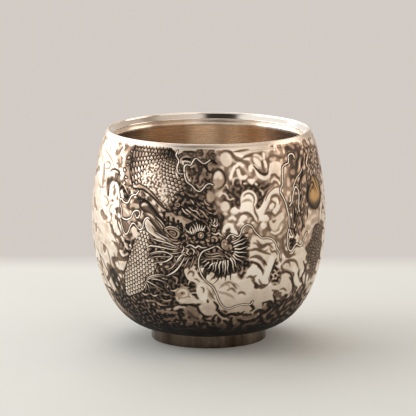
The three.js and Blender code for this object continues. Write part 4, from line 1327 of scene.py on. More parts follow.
# Cloud knobs: degrees, millimetres up the side, radius in millimetres
KNOBS = (
    (207, 62, 2.2), (235, 60, 2.0), (212, 65, 2.6), (229, 64, 2.6), (219, 66, 3.0), (212, 57, 2.2),
    (233, 55.5, 2.4), (224, 61, 3.4), (217, 58.4, 2.8), (228, 55, 3.0), (221, 53.4, 2.4), (188, 30, 2.2),
    (194, 27, 2.8), (200, 29.6, 2.4), (97, 54, 2.0), (101.6, 56.6, 2.6), (106, 53.4, 2.2), (160, 62, 2.4),
    (165.6, 64.4, 2.8), (171, 61.4, 2.2), (246, 44, 2.0), (251, 46.6, 2.6), (256, 43.4, 2.2),
    (251, 41.6, 2.4),
)
# Outline and curl of a knob: points round it, the curl's turn in radians, size, width, and the plate's form
KNOB_POINTS, KNOB_FORM = 16, (BRIGHT, 0.4, BROWN, -0.05, 0.8)
CURL_FROM, CURL_TO, CURL_POINTS = -0.7, 3.6, 8
CURL_SHARE, CURL_HALF = 0.5, 0.26
BACK_RIBBONS = (
    (96, 45, 104, 51, 101, 57, 108, 62, 117, 59, 121, 52, 129, 50, 135, 56, 142, 60, 150, 56),
    (118, 20, 126, 15, 136, 17, 143, 22, 152, 21, 158, 15, 168, 13, 177, 17, 184, 15),
    (188, 58, 196, 63, 206, 61, 211, 55, 219, 57, 224, 63, 233, 62, 238, 56, 246, 53),
    (206, 33, 213, 27, 211, 21, 219, 16, 228, 19, 231, 25, 240, 22),
)
TAIL_TUFT = (
    (BRIGHT, 0.3, (270, 27, 276, 31, 284, 33)), (BRIGHT, 0.28, (270, 27, 278, 28, 286, 26)),
    (BRIGHT, 0.26, (269, 26, 275, 23, 282, 20)), (CREAM, 0.24, (268, 28, 272, 33, 278, 38)),
    (CREAM, 0.24, (267, 25, 270, 20, 276, 16)), (BRIGHT, 0.2, (271, 27, 280, 30, 288, 29)),
)
BACK_MOAT, TOE_MOAT = 0.24, 0.3
LEG = (150, 27, 147, 21, 141, 17, 137, 14)
LEG_HALVES = (3.4, 2.8, 2.0, 1.5)
TOES = (
    (CREAM, 0.6, (138, 15, 131, 16, 126, 13.6)), (CREAM, 0.6, (137, 14, 131, 11.4, 129, 8)),
    (CREAM, 0.6, (138, 13.6, 137, 9.6, 139.4, 6.6)), (CREAM, 0.55, (140, 15, 145, 12, 149, 9.4)),
)
CLAWS = (
    (BRIGHT, 0.34, (126, 13.8, 122, 12, 120.6, 8.6)), (BRIGHT, 0.34, (129, 8.4, 126.6, 5.6, 127.6, 3)),
    (BRIGHT, 0.34, (139.2, 7, 142, 4.4, 145.4, 4)), (BRIGHT, 0.32, (148.6, 9.8, 153, 8.6, 155, 5.6)),
)


# Where the relief runs out at the seam and at the foot, in millimetres
END_WANDER, END_NOISE = 0.35, (5.0, 90)
SEAM_FROM, SEAM_TO = 0.5, 1.3
FOOT_FADE = 1.2


def lumps(relief, table, form):
    """Draws a table of lopsided round plates: each row is its pixel and radius."""
    level, moat, sag, sag_width = form
    for x, y, radius in table:
        outline = round_outline((x, y), radius, LUMP_POINTS, LUMP_WOBBLE)
        plate(relief, outline, level, moat, BLACK, sag, sag_width)


def ribbons(relief, table, widths, place=on_cup):
    """Draws a table of raised bands of one width."""
    half, moat = widths
    for pixels in table:
        ridge(relief, line(pixels, place=place), half, BRIGHT, moat, BLACK, even, HAIR_SOFT)


def pebbles(relief):
    """The pebbled patch on the upper body."""
    spot, away = field_to(line(PEBBLED, closed=True), PEBBLE_REACH)
    part = relief[cells(spot)]
    raised = step(PEBBLE_FROM, PEBBLE_TO, wander(*PEBBLE_NOISE)[cells(spot)])
    height = PEBBLE_LOW + (PEBBLE_HIGH - PEBBLE_LOW) * raised
    part += (height - part) * (1 - step(PEBBLE_INSIDE, PEBBLE_OUTSIDE, away))
    relief[cells(spot)] = part


def bodies(relief):
    """The scaled body above and below the head."""
    strokes(relief, BODY_SIDE, spindle, SIDE_SOFT)
    spine = line(UPPER_SPINE)
    spine = np.vstack([spine, [spine[-1, 0], SIDE_LENGTH + 1]])
    scales(relief, spine, UPPER_HALVES, *UPPER_SCALES)
    lumps(relief, EDGE_KNOBS, EDGE_FORM)
    pebbles(relief)
    # Painted shade and light on the upper body
    relief += spots_field(BODY_PAINTED_SHADING)
    scales(relief, line(LOWER_SPINE), LOWER_HALVES, *LOWER_SCALES)


def neck(relief):
    """The knobby strip between the scaled body and the horn."""
    ridge(relief, line(NECK), NECK_HALF, TAN, NECK_MOAT)
    chased_ground(relief, NECK_PATCH, MIDDLE, NECK_HIGH, BROWN, NARROW_SOFT)
    strokes(relief, NECK_LINES, spindle, SOFT)


def horn(relief):
    """The smooth swept horn, with painted shade and highlight, and the ear behind the left eye."""
    plates(relief, HORN_PLATES)
    strokes(relief, HORN_PAINTED_SHADING, spindle, HORN_SOFT)
    ridges(relief, HORN_LINES, NARROW_MOAT)


def left_ribbons(relief):
    """The ribbons and leaves at the left of the neck."""
    areas(relief, LEFT_LEAVES, LEAF_SOFT)
    strokes(relief, LEFT_BITS, spindle, FINE_SOFT)
    ribbons(relief, LEFT_RIBBONS, LEFT_WIDTHS)


def top_ribbon(relief):
    """The ribbon above the head."""
    strokes(relief, TOP_DARKS)
    strokes(relief, TOP_BITS, spindle, FINE_SOFT)
    ribbons(relief, TOP_RIBBONS, TOP_WIDTHS)


def forehead(relief):
    """The brow with its rings and the dark lines between them."""
    plates(relief, (BROW_PLATE,))
    ridges(relief, BROW_LINES, BROW_MOAT)
    lumps(relief, BROW_RINGS, BROW_FORM)
    strokes(relief, BROW_DARKS, pointed, SOFT)


def eyes(relief):
    """The left eye with its creases, then the right eye with its lashes."""
    plates(relief, (LID_PLATE,))
    area(relief, line(LEFT_SOCKET, closed=True), BLACK, FINE_SOFT)
    plates(relief, (BALL_PLATE,))
    ridges(relief, LEFT_CREASES)
    area(relief, line(RIGHT_PATCH, closed=True), BLACK, PATCH_SOFT)
    lumps(relief, EYE_LUMPS, EYE_FORM)
    ridge(relief, line(LASH_BASE), BASE_HALF, BRIGHT, BASE_MOAT, BLACK, spindle)
    for pixels in LASHES:
        ridge(relief, line(pixels), LASH_HALF, BRIGHT, LASH_MOAT, BLACK, pointed, LASH_SOFT)
    area(relief, round_outline(RIGHT_BALL, *SOCKET_CIRCLE), BLACK, SOCKET_SOFT)
    plate(relief, round_outline(RIGHT_BALL, *BALL_CIRCLE), *BALL_FORM)
    plate(relief, round_outline(RIGHT_BALL, *PUPIL_CIRCLE), *PUPIL_FORM)


def snout(relief):
    """The lines of the snout, the nostril and the nose."""
    ridges(relief, SNOUT_LINES, NARROW_MOAT)
    lumps(relief, (NOSTRIL_RING,), NOSTRIL_FORM)
    lumps(relief, (NOSE,), NOSE_FORM)
    strokes(relief, NOSE_MARKS)


def beard(relief):
    """The fringe of hair round the jaw, in an inner and an outer row."""
    area(relief, line(BEARD_GROUND, closed=True), BLACK, BEARD_SOFT)
    strokes(relief, BEARD_GAPS, pointed, FINE_SOFT)
    ridges(relief, BEARD_ROOT_STRANDS, ROOT_MOAT, spindle, HAIR_SOFT)
    rng = np.random.default_rng(BEARD_SEED)
    for level, half, pixels in BEARD_STRANDS:
        bent = np.array(pixels) + rng.uniform(-BEARD_BEND, BEARD_BEND, len(pixels))
        ridge(relief, line(bent), half, level, NARROW_MOAT, BLACK, pointed, HAIR_SOFT)
    groove(relief, line(BEARD_LASH), BEARD_LASH_HALF, BLACK, pointed)


def right_flame(relief):
    """The tall flame ribbon at the right with its hairpin, and the strands beyond it."""
    chased_ground(relief, FLAME_GROUND, MIDDLE, FLAME_HIGH, FLAME_LOW, WIDE_SOFT)
    chased_ground(relief, SMOKE, MIDDLE, OCHRE, SMOKE_LOW, WIDE_SOFT)
    strokes(relief, FLAME_DARKS, spindle, FLAME_SOFT)
    ridges(relief, FLAME_STRANDS)
    ribbons(relief, FLAMES, FLAME_WIDTHS)
    chased_ground(relief, FLAME_POCKET, FINE, BROWN, BLACK, NARROW_SOFT)


def pearl(relief, gilt):
    """The gilded pearl, with painted shade above and below, and dark twigs across it."""
    bead = line(PEARL, closed=True)
    plate(relief, bead, *PEARL_FORM)
    area(relief, line(PEARL_TOP_SHADE, closed=True), BROWN, PEARL_TOP_SOFT)
    area(relief, line(PEARL_FOOT_SHADE, closed=True), DARK, PEARL_FOOT_SOFT)
    strokes(relief, PEARL_TWIGS, spindle, SOFT)
    spot, away = field_to(bead, GILT_REACH)
    part = gilt[cells(spot)]
    part += (GILT_SHARE * (1 - step(GILT_FULL, SOFT, away)) - part) * (1 - step(-SOFT, SOFT, away))
    gilt[cells(spot)] = part


def circle_round(degrees, up, size, turns):
    """Places on a circle, or on part of it, round a place in degrees and millimetres."""
    radius = np.interp(up, ARC, RADIUS)
    across = math.radians(degrees) + size * np.cos(turns) / radius
    return np.stack([across, up + size * np.sin(turns)], axis=1)


def knobs(relief, table):
    """Round cloud heads, each with a curl in it."""
    turns = np.linspace(0, 2 * math.pi, KNOB_POINTS, endpoint=False)
    curl = np.linspace(CURL_FROM, CURL_TO, CURL_POINTS)
    for degrees, up, size in table:
        plate(relief, smooth(circle_round(degrees, up, size, turns), closed=True), *KNOB_FORM)
        inner = smooth(circle_round(degrees, up, CURL_SHARE * size, curl))
        brush(relief, inner, CURL_HALF, BROWN, spindle, STROKE_SOFT)


def fins(relief, spine):
    """A row of leaning fins along one side of a spine."""
    edge_share = np.linspace(FIN_FROM, FIN_TO, BACK_FINS)
    halves = np.interp(edge_share, np.linspace(0, 1, len(BACK_HALVES)), BACK_HALVES)
    roots, ahead = at_share(spine, edge_share), at_share(spine, edge_share + FIN_AHEAD)
    for root, tip, half in zip(roots, ahead, halves):
        radius = np.interp(root[1], ARC, RADIUS)
        run = np.array([(tip[0] - root[0]) * radius, tip[1] - root[1]])
        run /= np.hypot(*run)
        out = np.array([-run[1], run[0]])
        points = (
            out * (half - FIN_ROOT),
            out * (half + MIDDLE_REACH * FIN_REACH) + run * MIDDLE_LEAN * FIN_LEAN,
            out * (half + FIN_REACH) + run * FIN_LEAN,
        )
        fin = np.array([root + np.array([p[0] / radius, p[1]]) for p in points])
        ridge(relief, smooth(fin, FIN_STEP), FIN_HALF, CREAM, FIN_MOAT, BLACK, pointed)


def back(relief):
    """The body round the back with its fins, leg, tail and ribbons; the photograph shows none of it."""
    knobs(relief, KNOBS)
    spine = line(BACK_SPINE, place=all_round)
    fins(relief, spine)
    scales(relief, spine, BACK_HALVES, *BACK_SCALES)
    chased_ground(relief, BODY_COVER, FINEST, COVER_HIGH, COVER_LOW, COVER_SOFT, all_round)
    knobs(relief, START_KNOBS)
    scales(relief, line(LEG, place=all_round), LEG_HALVES, *LEG_SCALES)
    ridges(relief, TOES, TOE_MOAT, even, place=all_round)
    ridges(relief, CLAWS, BACK_MOAT, pointed, place=all_round)
    ridges(relief, TAIL_TUFT, BACK_MOAT, spindle, place=all_round)
    ribbons(relief, BACK_RIBBONS, BACK_WIDTHS, all_round)


def build():
    """The height field of the whole side and the share of gilding on it."""
    relief = marbling()
    gilt = np.zeros_like(relief)
    drawn_clouds(relief)
    back(relief)
    chased_ground(relief, DARK_CORNER, FINE, BROWN, BLACK)
    strokes(relief, CORNER_LIGHTS, spindle, FINE_SOFT)
    areas(relief, CORNER_CURLS, FIELD_SOFT)
    strokes(relief, CURL_LINES)
    bodies(relief)
    ridges(relief, TUFT, RIDGE_MOAT, pointed, HAIR_SOFT)
    chased_ground(relief, HEAD_GROUND, FINE, TAN, BLACK)
    neck(relief)
    forehead(relief)
    horn(relief)
    ridges(relief, MANE, MANE_MOAT, spindle, HAIR_SOFT)
    beard(relief)
    eyes(relief)
    snout(relief)
    top_ribbon(relief)
    right_flame(relief)
    pearl(relief, gilt)
    left_ribbons(relief)
    ribbons(relief, WHISKERS, WHISKER_WIDTHS)
    left = SIDE_LENGTH - ARC[:, None] + END_WANDER * wander(*END_NOISE)
    relief *= step(SEAM_FROM, SEAM_TO, left) * step(0.0, FOOT_FADE, ARC)[:, None]
    return np.clip(relief, BLACK, BRIGHT), gilt


# Turned forms, as profiles of radius and height in millimetres

WALL = 3.8
SKIN_THICKNESS = 0.8
LINER_THICKNESS = 0.6
LIP_WIDTH = 2.1
CREST_WIDTH = 0.8
BEVEL_FOOT = 0.3
FOOT_BAND_THICKNESS = 0.6
FOOT_BAND_WIDTH = 4.0
FOOT_EDGE = 0.3
DISC_RISE = 2.2
DISC_THICKNESS = 0.7
BOND = 0.3

LIP_INNER_RADIUS = LIP_RADIUS - LIP_WIDTH
FOOT_INNER_RADIUS = FOOT_RADIUS - FOOT_BAND_WIDTH
PORCELAIN_BASE = DISC_RISE + DISC_THICKNESS
# Part of the drawn height that the real relief has
RELIEF_SHARE = 0.45
# Fineness: points round a turned piece, rows of hidden backs, floors and the liner's face
TURNED_COLUMNS = 512
HIDDEN_ROWS, FLOOR_ROWS, FACE_ROWS = 40, 24, 160
# Decimals to which points in one place agree, and the reach in millimetres over which a normal is taken
JOIN_DIGITS = 6
NORMAL_REACH = 0.2
# Rounded corners: points of each, points of crest and bevel, and the radius at the foot of the bevel
CORNER_POINTS = 5
CREST_POINTS, BEVEL_POINTS, BEVEL_EDGE = 12, 10, 0.12
# Foot band: radius of its corners and step along its long sides
FOOT_ROUND, FOOT_STEP = 0.1, 0.35
# Height on the flat map of the strip with the hidden back of the skin
MAP_STRIP = 0.02


def side_normals(rows):
    """Outward normals of the outer side at rows given as distances up the side."""
    above, below = rows + NORMAL_REACH, rows - NORMAL_REACH
    radius = np.interp(above, side_arc, SIDE[:, 0]) - np.interp(below, side_arc, SIDE[:, 0])
    height = np.interp(above, side_arc, SIDE[:, 1]) - np.interp(below, side_arc, SIDE[:, 1])
    length = np.hypot(radius, height)
    return np.stack([height / length, -radius / length], axis=1)


def sunk_side(depth, count):
    """The side at a depth under the outer face, from the foot up to the seam under the lip band."""
    rows = np.linspace(0, SEAM_LENGTH, count)
    outer = np.stack([np.interp(rows, side_arc, SIDE[:, 0]), np.interp(rows, side_arc, SIDE[:, 1])], axis=1)
    points = outer - side_normals(rows) * depth
    seam_radius = outer[-1, 0]
    points[-1] = (seam_radius - depth * (seam_radius - LIP_INNER_RADIUS) / WALL, SEAM_HEIGHT)
    return points[(points[:, 1] < SEAM_HEIGHT) | (np.arange(count) == count - 1)]


def bent(start, corner, end, t):
    """Points of a soft bend from start to end that leans towards a corner."""
    return (1 - t) ** 2 * np.array(start) + 2 * (1 - t) * t * np.array(corner) + t * t * np.array(end)


def arc_corner(before, corner, after, radius):
    """A corner of a profile, rounded."""
    before, corner, after = (np.array(p, float) for p in (before, corner, after))
    start = corner + (before - corner) / np.linalg.norm(before - corner) * radius
    end = corner + (after - corner) / np.linalg.norm(after - corner) * radius
    return bent(start, corner, end, np.linspace(0, 1, CORNER_POINTS)[:, None])


def rounded(outline, radius, fine):
    """A closed profile with its corners rounded and its long sides cut into short steps."""
    count = len(outline)
    points = []
    for i in range(count):
        points.append(arc_corner(outline[i - 1], outline[i], outline[(i + 1) % count], radius))
    cut = []
    for i in range(count):
        here, there = points[i], points[(i + 1) % count]
        cut.append(here)
        length = np.linalg.norm(there[0] - here[-1])
        steps = int(length / fine)
        if steps > 1:
            t = (np.arange(1, steps) / steps)[:, None]
            cut.append(here[-1] + (there[0] - here[-1]) * t)
    return np.vstack(cut)


def turned(profile, columns):
    """Points of a closed profile turned about the axis."""
    angle = np.linspace(-math.pi, math.pi, columns, endpoint=False)
    radius = profile[:, 0][:, None]
    points = np.stack([
        radius * np.sin(angle)[None, :],
        -radius * np.cos(angle)[None, :],
        np.repeat(profile[:, 1][:, None], columns, axis=1),
    ], axis=-1)
    return points


def joined(points, faces):
    """Points with those in one place made one, as at the axis, and the faces that are left."""
    spots, where = np.unique(points.reshape(-1, 3).round(JOIN_DIGITS), axis=0, return_inverse=True)
    corners = [list(dict.fromkeys(face)) for face in where.reshape(-1)[faces].tolist()]
    return spots, [face for face in corners if len(face) > 2]


def ring_faces(rows, columns):
    """Faces of rings of points that close on themselves both ways."""
    i = np.arange(rows)[:, None]
    j = np.arange(columns)[None, :]
    up, on = (i + 1) % rows, (j + 1) % columns
    corners = [i * columns + j, i * columns + on, up * columns + on, up * columns + j]
    return np.stack([np.broadcast_to(c, (rows, columns)) for c in corners], axis=-1).reshape(-1, 4)


def add_piece(name, points, faces, material, node):
    """A piece from points in millimetres; it rides on the one body and stands for a solid."""
    mesh = bpy.data.meshes.new(name)
    mesh.from_pydata((points.reshape(-1, 3) * MM).tolist(), [], faces)
    mesh.polygons.foreach_set("use_smooth", np.ones(len(mesh.polygons), bool))
    mesh.materials.append(material)
    piece = bpy.data.objects.new(name, mesh)
    bpy.context.scene.collection.objects.link(piece)
    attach(piece, "root")
    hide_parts(node)
    return piece


def add_fields(mesh, rows, fields):
    """Point attributes of a piece whose first rings are rows of the canvas."""
    for name, field in fields.items():
        values = np.zeros((rows, COLUMNS), np.float32)
        values[:len(field)] = field
        mesh.attributes.new(name, "FLOAT", "POINT").data.foreach_set("value", values.ravel())


def add_turned(name, profile, material, node):
    """A piece turned from a closed profile."""
    points, faces = joined(turned(profile, TURNED_COLUMNS), ring_faces(len(profile), TURNED_COLUMNS))
    return add_piece(name, points, faces, material, node)


# Chased skin

def chased_face(relief):
    """Rings of points of the whole outer side with its relief."""
    normals = side_normals(ARC)
    depth = relief * RELIEF_SHARE
    radius = RADIUS[:, None] + depth * normals[:, 0][:, None]
    height = HEIGHT[:, None] + depth * normals[:, 1][:, None]
    return np.stack([radius * np.sin(ANGLE), -radius * np.cos(ANGLE), height], axis=-1)


def skin_layout(rows, columns):
    """Corners of each face on the flat map: two half turns, and the hidden back in a strip."""
    i = np.arange(rows)[:, None, None]
    j = np.arange(columns)[None, :, None]
    half = columns // 2
    row = i + np.array([0, 0, 1, 1])[None, None, :]
    column = j % half + np.array([0, 1, 1, 0])[None, None, :]
    front = 0.5 - MAP_STRIP
    hidden = rows - SEAM_ROWS
    last = SEAM_ROWS - 1
    share = np.where(i < last, row / last * front, front + (row - last) / (hidden + 1) * MAP_STRIP)
    share = np.broadcast_to(share, (rows, columns, 4))
    v = share + 0.5 * (j >= half)
    u = np.broadcast_to(column / half, (rows, columns, 4))
    return np.stack([u, v], axis=-1)


def level_of(relief):
    """Relief as a share, 0 in the deepest ground and 1 on the raised work."""
    return (relief - BLACK) / (BRIGHT - BLACK)


def add_skin(relief, gilt, material):
    """The chased skin with its hidden back, and its flat map."""
    back = turned(sunk_side(SKIN_THICKNESS, HIDDEN_ROWS)[::-1], COLUMNS)
    points = np.concatenate([chased_face(relief)[:SEAM_ROWS], back], axis=0)
    rows = points.shape[0]
    faces = ring_faces(rows, COLUMNS).tolist()
    skin = add_piece("skin_relief", points, faces, material, "chased_skin")
    add_fields(skin.data, rows, {"height": level_of(relief)[:SEAM_ROWS], "gilt": gilt[:SEAM_ROWS]})
    layout = skin_layout(rows, COLUMNS).astype(np.float32)
    skin.data.uv_layers.new(name="OFBake").data.foreach_set("uv", layout.ravel())


def add_lip(relief, material):
    """The lip band: the last of the chasing runs out on its outer side."""
    points = np.concatenate([chased_face(relief)[SEAM_ROWS - 1:], turned(lip_profile(), COLUMNS)], axis=0)
    rows = points.shape[0]
    faces = ring_faces(rows, COLUMNS).tolist()
    lip = add_piece("lip_rim", points, faces, material, "lip_band")
    levels = np.ones((rows, COLUMNS))
    levels[:ROWS - SEAM_ROWS + 1] = level_of(relief)[SEAM_ROWS - 1:]
    add_fields(lip.data, rows, {"height": levels})


# Materials

# Sockets of the mix node: factor, first and second colour, and the colour that it gives
MIX_INPUTS, MIX_RESULT = ("0", "6", "7"), 2
NOISE_DETAIL, NOISE_ROUGH = 3.0, 0.55
# The range in which most values of a noise lie
NOISE_LOW, NOISE_HIGH = 0.3, 0.7


def new_material(name):
    """A material with one shader, and that shader."""
    material = bpy.data.materials.new(name)
    material.use_nodes = True
    nodes = material.node_tree.nodes
    nodes.clear()
    output = nodes.new("ShaderNodeOutputMaterial")
    shader = nodes.new("ShaderNodeBsdfPrincipled")
    material.node_tree.links.new(shader.outputs["BSDF"], output.inputs["Surface"])
    return material, shader


class Nodes:
    """Short calls that add and join the nodes of one material."""

    def __init__(self, material):
        self.tree = material.node_tree

    def add(self, kind, settings=None, **inputs):
        node = self.tree.nodes.new(kind)
        for key, value in (settings or {}).items():
            setattr(node, key, value)
        for key, value in inputs.items():
            self.feed(node, key.replace("_", " "), value)
        return node

    def feed(self, node, key, value):
        socket = node.inputs[int(key)] if key.isdigit() else node.inputs[key]
        if isinstance(value, bpy.types.NodeSocket):
            self.tree.links.new(value, socket)
        else:
            socket.default_value = value

    def math(self, operation, first, second=0.0):
        node = self.tree.nodes.new("ShaderNodeMath")
        node.operation = operation
        self.feed(node, "0", first)
        self.feed(node, "1", second)
        return node.outputs[0]

    def spread(self, value, low, high, to_low=0.0, to_high=1.0):
        ends = {"From_Min": low, "From_Max": high, "To_Min": to_low, "To_Max": to_high}
        return self.add("ShaderNodeMapRange", Value=value, **ends).outputs["Result"]

    def spread_noise(self, value, to_low=0.0, to_high=1.0):
        """Noise spread from its usual range over another."""
        return self.spread(value, NOISE_LOW, NOISE_HIGH, to_low, to_high)

    def attribute(self, name):
        return self.add("ShaderNodeAttribute", {"attribute_name": name}).outputs["Fac"]

    def place(self, scale=(1, 1, 1)):
        coordinates = self.add("ShaderNodeTexCoord").outputs["Object"]
        return self.add("ShaderNodeMapping", Vector=coordinates, Scale=scale).outputs["Vector"]

    def vector(self, operation, first, second):
        node = self.add("ShaderNodeVectorMath", {"operation": operation})
        self.feed(node, "0", first)
        self.feed(node, "1", second)
        return node

    def radius(self):
        """Distance from the axis."""
        place = self.add("ShaderNodeTexCoord").outputs["Object"]
        flat = self.vector("MULTIPLY", place, (1.0, 1.0, 0.0)).outputs["Vector"]
        return self.vector("DISTANCE", flat, (0.0, 0.0, 0.0)).outputs["Value"]

    def turning(self, around, across, detail=NOISE_DETAIL, rough=NOISE_ROUGH):
        """Noise in fine lines round the axis, spaced by height on a wall and by radius on a floor."""
        parts = self.add("ShaderNodeSeparateXYZ", Vector=self.place((around, around, across)))
        run = self.math("ADD", parts.outputs["Z"], self.math("MULTIPLY", self.radius(), across))
        spot = self.add("ShaderNodeCombineXYZ", X=parts.outputs["X"], Y=parts.outputs["Y"], Z=run)
        return self.noise(spot.outputs["Vector"], 1.0, detail, rough)

    def noise(self, place, scale, detail=NOISE_DETAIL, rough=NOISE_ROUGH):
        node = self.add("ShaderNodeTexNoise", Vector=place, Scale=scale, Detail=detail, Roughness=rough)
        return node.outputs["Fac"]

    def ramp(self, factor, stops):
        node = self.add("ShaderNodeValToRGB", Fac=factor)
        elements = node.color_ramp.elements
        while len(elements) < len(stops):
            elements.new(0.5)
        for element, (position, colour) in zip(elements, stops):
            element.position = position
            element.color = (*colour, 1.0)
        return node.outputs["Color"]

    def mix(self, factor, first, second):
        node = self.tree.nodes.new("ShaderNodeMix")
        node.data_type = "RGBA"
        for key, value in zip(MIX_INPUTS, (factor, first, second)):
            self.feed(node, key, value)
        return node.outputs[MIX_RESULT]

    def bump(self, height, distance, strength, normal=None):
        node = self.add("ShaderNodeBump", Height=height, Distance=distance, Strength=strength)
        if normal is not None:
            self.tree.links.new(normal, node.inputs["Normal"])
        return node.outputs["Normal"]


# Noises of the materials: scale and detail, or lines round the axis with spacing, detail and roughness
MOTTLE, CLOUD, GRAIN = (260.0, 4.0), (38.0, 3.0), (1400.0, 2.0)
LINER_LINES, LINER_BANDS = (12.0, 5200.0, 4.0, 0.6), (6.0, 900.0, 3.0, 0.6)
POLISHING, POTTING = (20.0, 2600.0), (8.0, 700.0)
FOOT_WIPES, LIP_WIPES, SPECKS = (90.0, 4.0), (70.0, 4.0), (900.0, 2.0)
# Noises drawn out along the axis: scales of the place, then scale, detail and roughness of the noise
# The liner's noise is drawn out up its wall into bands: partly stains, partly painted columns of reflected
# light
STAIN_AND_REFLECTION_SCALES, STAIN = (85.0, 85.0, 7.0), (1.0, 2.0)
STREAK_SCALES, STREAKS = (260.0, 260.0, 25.0), (1.0, 3.0, 0.6)
# Bumps: height in metres and strength
GRAIN_BUMP, MOTTLE_BUMP = (0.00002, 0.6), (0.00006, 0.5)
BRUSH_BUMP, POLISH_BUMP, POTTING_BUMP = (0.00003, 0.6), (0.00001, 0.35), (0.00008, 0.5)

# Chased silver by the level of its relief: tones, metal, roughness, and the gold of the pearl
PATINA_STOPS = (
    (0.0, (0.012, 0.010, 0.009)),
    (0.23, (0.050, 0.037, 0.028)),
    (0.48, (0.190, 0.130, 0.092)),
    (0.69, (0.470, 0.348, 0.260)),
    (0.88, (0.820, 0.705, 0.590)),
    (1.0, (0.955, 0.880, 0.785)),
)
MOTTLE_SHIFT, CLOUD_SHIFT, GRAIN_SHIFT = 0.06, 0.04, 0.05
METAL_FROM, METAL_TO, METAL_LEAST = 0.1, 0.6, 0.45
GROUND_ROUGH, RAISED_ROUGH = 0.72, 0.36
PATINA_SPECULAR = 0.25
GILT_FROM, GILT_TO = 0.2, 0.6
GOLD = (0.56, 0.34, 0.125, 1.0)

# Brushed silver: tones, stains that also stand for painted columns of reflected light, and roughness
LINER_DARK, LINER_LIGHT = (0.72, 0.59, 0.48, 1.0), (0.92, 0.83, 0.72, 1.0)
LINER_STAIN_REFLECTION_FROM, LINER_STAIN_REFLECTION_TO, STAIN_REFLECTION_SHARE = 0.42, 0.64, 0.7
STAIN_REFLECTION_TONE = (0.52, 0.37, 0.25, 1.0)
LINER_ROUGH = (0.22, 0.34)
LINER_ANISOTROPY = 0.7
ACROSS_THE_LINES = 0.25

# Silver of the foot: tones of its streaks and wipes, and roughness
FOOT_DARK, FOOT_LIGHT = (0.050, 0.034, 0.025, 1.0), (0.15, 0.108, 0.08, 1.0)
STREAK_RANGE, FOOT_WIPE_RANGE = (0.35, 0.65), (0.55, 0.75, 0.0, 0.5)
FOOT_WIPE_TONE = (0.33, 0.27, 0.215, 1.0)
FOOT_ROUGH = (0.20, 0.32)

# Silver of the lip: radii in metres between which the bevel begins, tones and roughness
BEVEL_FROM, BEVEL_TO = 0.0332, 0.0330
LIP_WIPE_RANGE = (0.35, 0.7)
SATIN_DARK, SATIN_LIGHT = (0.68, 0.58, 0.49, 1.0), (0.82, 0.73, 0.64, 1.0)
BEVEL_TONE = (0.90, 0.83, 0.76, 1.0)
RAISED_RANGE = (0.85, 1.0)
SATIN_ROUGH, BEVEL_POLISH = (0.30, 0.40), 0.24

# Unglazed porcelain: tones of its rings and specks, and roughness
PORCELAIN_DARK, PORCELAIN_LIGHT = (0.80, 0.765, 0.69, 1.0), (0.87, 0.84, 0.78, 1.0)
SPECK_RANGE = (0.68, 0.8, 0.0, 0.6)
SPECK_TONE = (0.62, 0.55, 0.45, 1.0)
PORCELAIN_ROUGH = (0.62, 0.78)


def chased_silver():
    """Silver that is bright on the raised work and blackened in the grounds."""
    material, shader = new_material("chased_silver_patina")
    n = Nodes(material)
    height = n.attribute("height")
    place = n.place()
    mottle = n.noise(place, *MOTTLE)
    cloud = n.noise(place, *CLOUD)
    level = n.math("ADD", height, n.spread_noise(mottle, -MOTTLE_SHIFT, MOTTLE_SHIFT))
    level = n.math("ADD", level, n.spread_noise(cloud, -CLOUD_SHIFT, CLOUD_SHIFT))
    colour = n.ramp(level, PATINA_STOPS)
    gilding = n.math("MULTIPLY", n.attribute("gilt"), n.spread(height, GILT_FROM, GILT_TO))
    n.feed(shader, "Base Color", n.mix(gilding, colour, GOLD))
    n.feed(shader, "Metallic", n.spread(level, METAL_FROM, METAL_TO, METAL_LEAST, 1.0))
    grain = n.noise(place, *GRAIN)
    rough = n.spread(level, 0.0, 1.0, GROUND_ROUGH, RAISED_ROUGH)
    n.feed(shader, "Roughness", n.math("ADD", rough, n.spread_noise(grain, -GRAIN_SHIFT, GRAIN_SHIFT)))
    n.feed(shader, "Specular IOR Level", PATINA_SPECULAR)
    n.feed(shader, "Normal", n.bump(mottle, *MOTTLE_BUMP, n.bump(grain, *GRAIN_BUMP)))
    return material


def brushed_silver():
    """Warm silver with fine lines brushed round the cup."""
    material, shader = new_material("brushed_silver_liner")
    n = Nodes(material)
    lines = n.turning(*LINER_LINES)
    bands = n.turning(*LINER_BANDS)
    # Bands up the wall: partly stains, partly painted columns of reflected light
    stain = n.noise(n.place(STAIN_AND_REFLECTION_SCALES), *STAIN)
    tone = n.math("ADD", n.spread_noise(bands, 0.0, 0.5), n.spread_noise(lines, 0.0, 0.5))
    colour = n.mix(tone, LINER_DARK, LINER_LIGHT)
    stain_and_reflection = n.spread(stain, LINER_STAIN_REFLECTION_FROM, LINER_STAIN_REFLECTION_TO, 0.0, STAIN_REFLECTION_SHARE)
    n.feed(shader, "Base Color", n.mix(stain_and_reflection, colour, STAIN_REFLECTION_TONE))
    n.feed(shader, "Metallic", 1.0)
    n.feed(shader, "Roughness", n.spread_noise(lines, *LINER_ROUGH))
    n.feed(shader, "Anisotropic", LINER_ANISOTROPY)
    n.feed(shader, "Anisotropic Rotation", ACROSS_THE_LINES)
    tangent = n.add("ShaderNodeTangent", {"direction_type": "RADIAL", "axis": "Z"})
    n.feed(shader, "Tangent", tangent.outputs["Tangent"])
    n.feed(shader, "Normal", n.bump(lines, *BRUSH_BUMP))
    return material


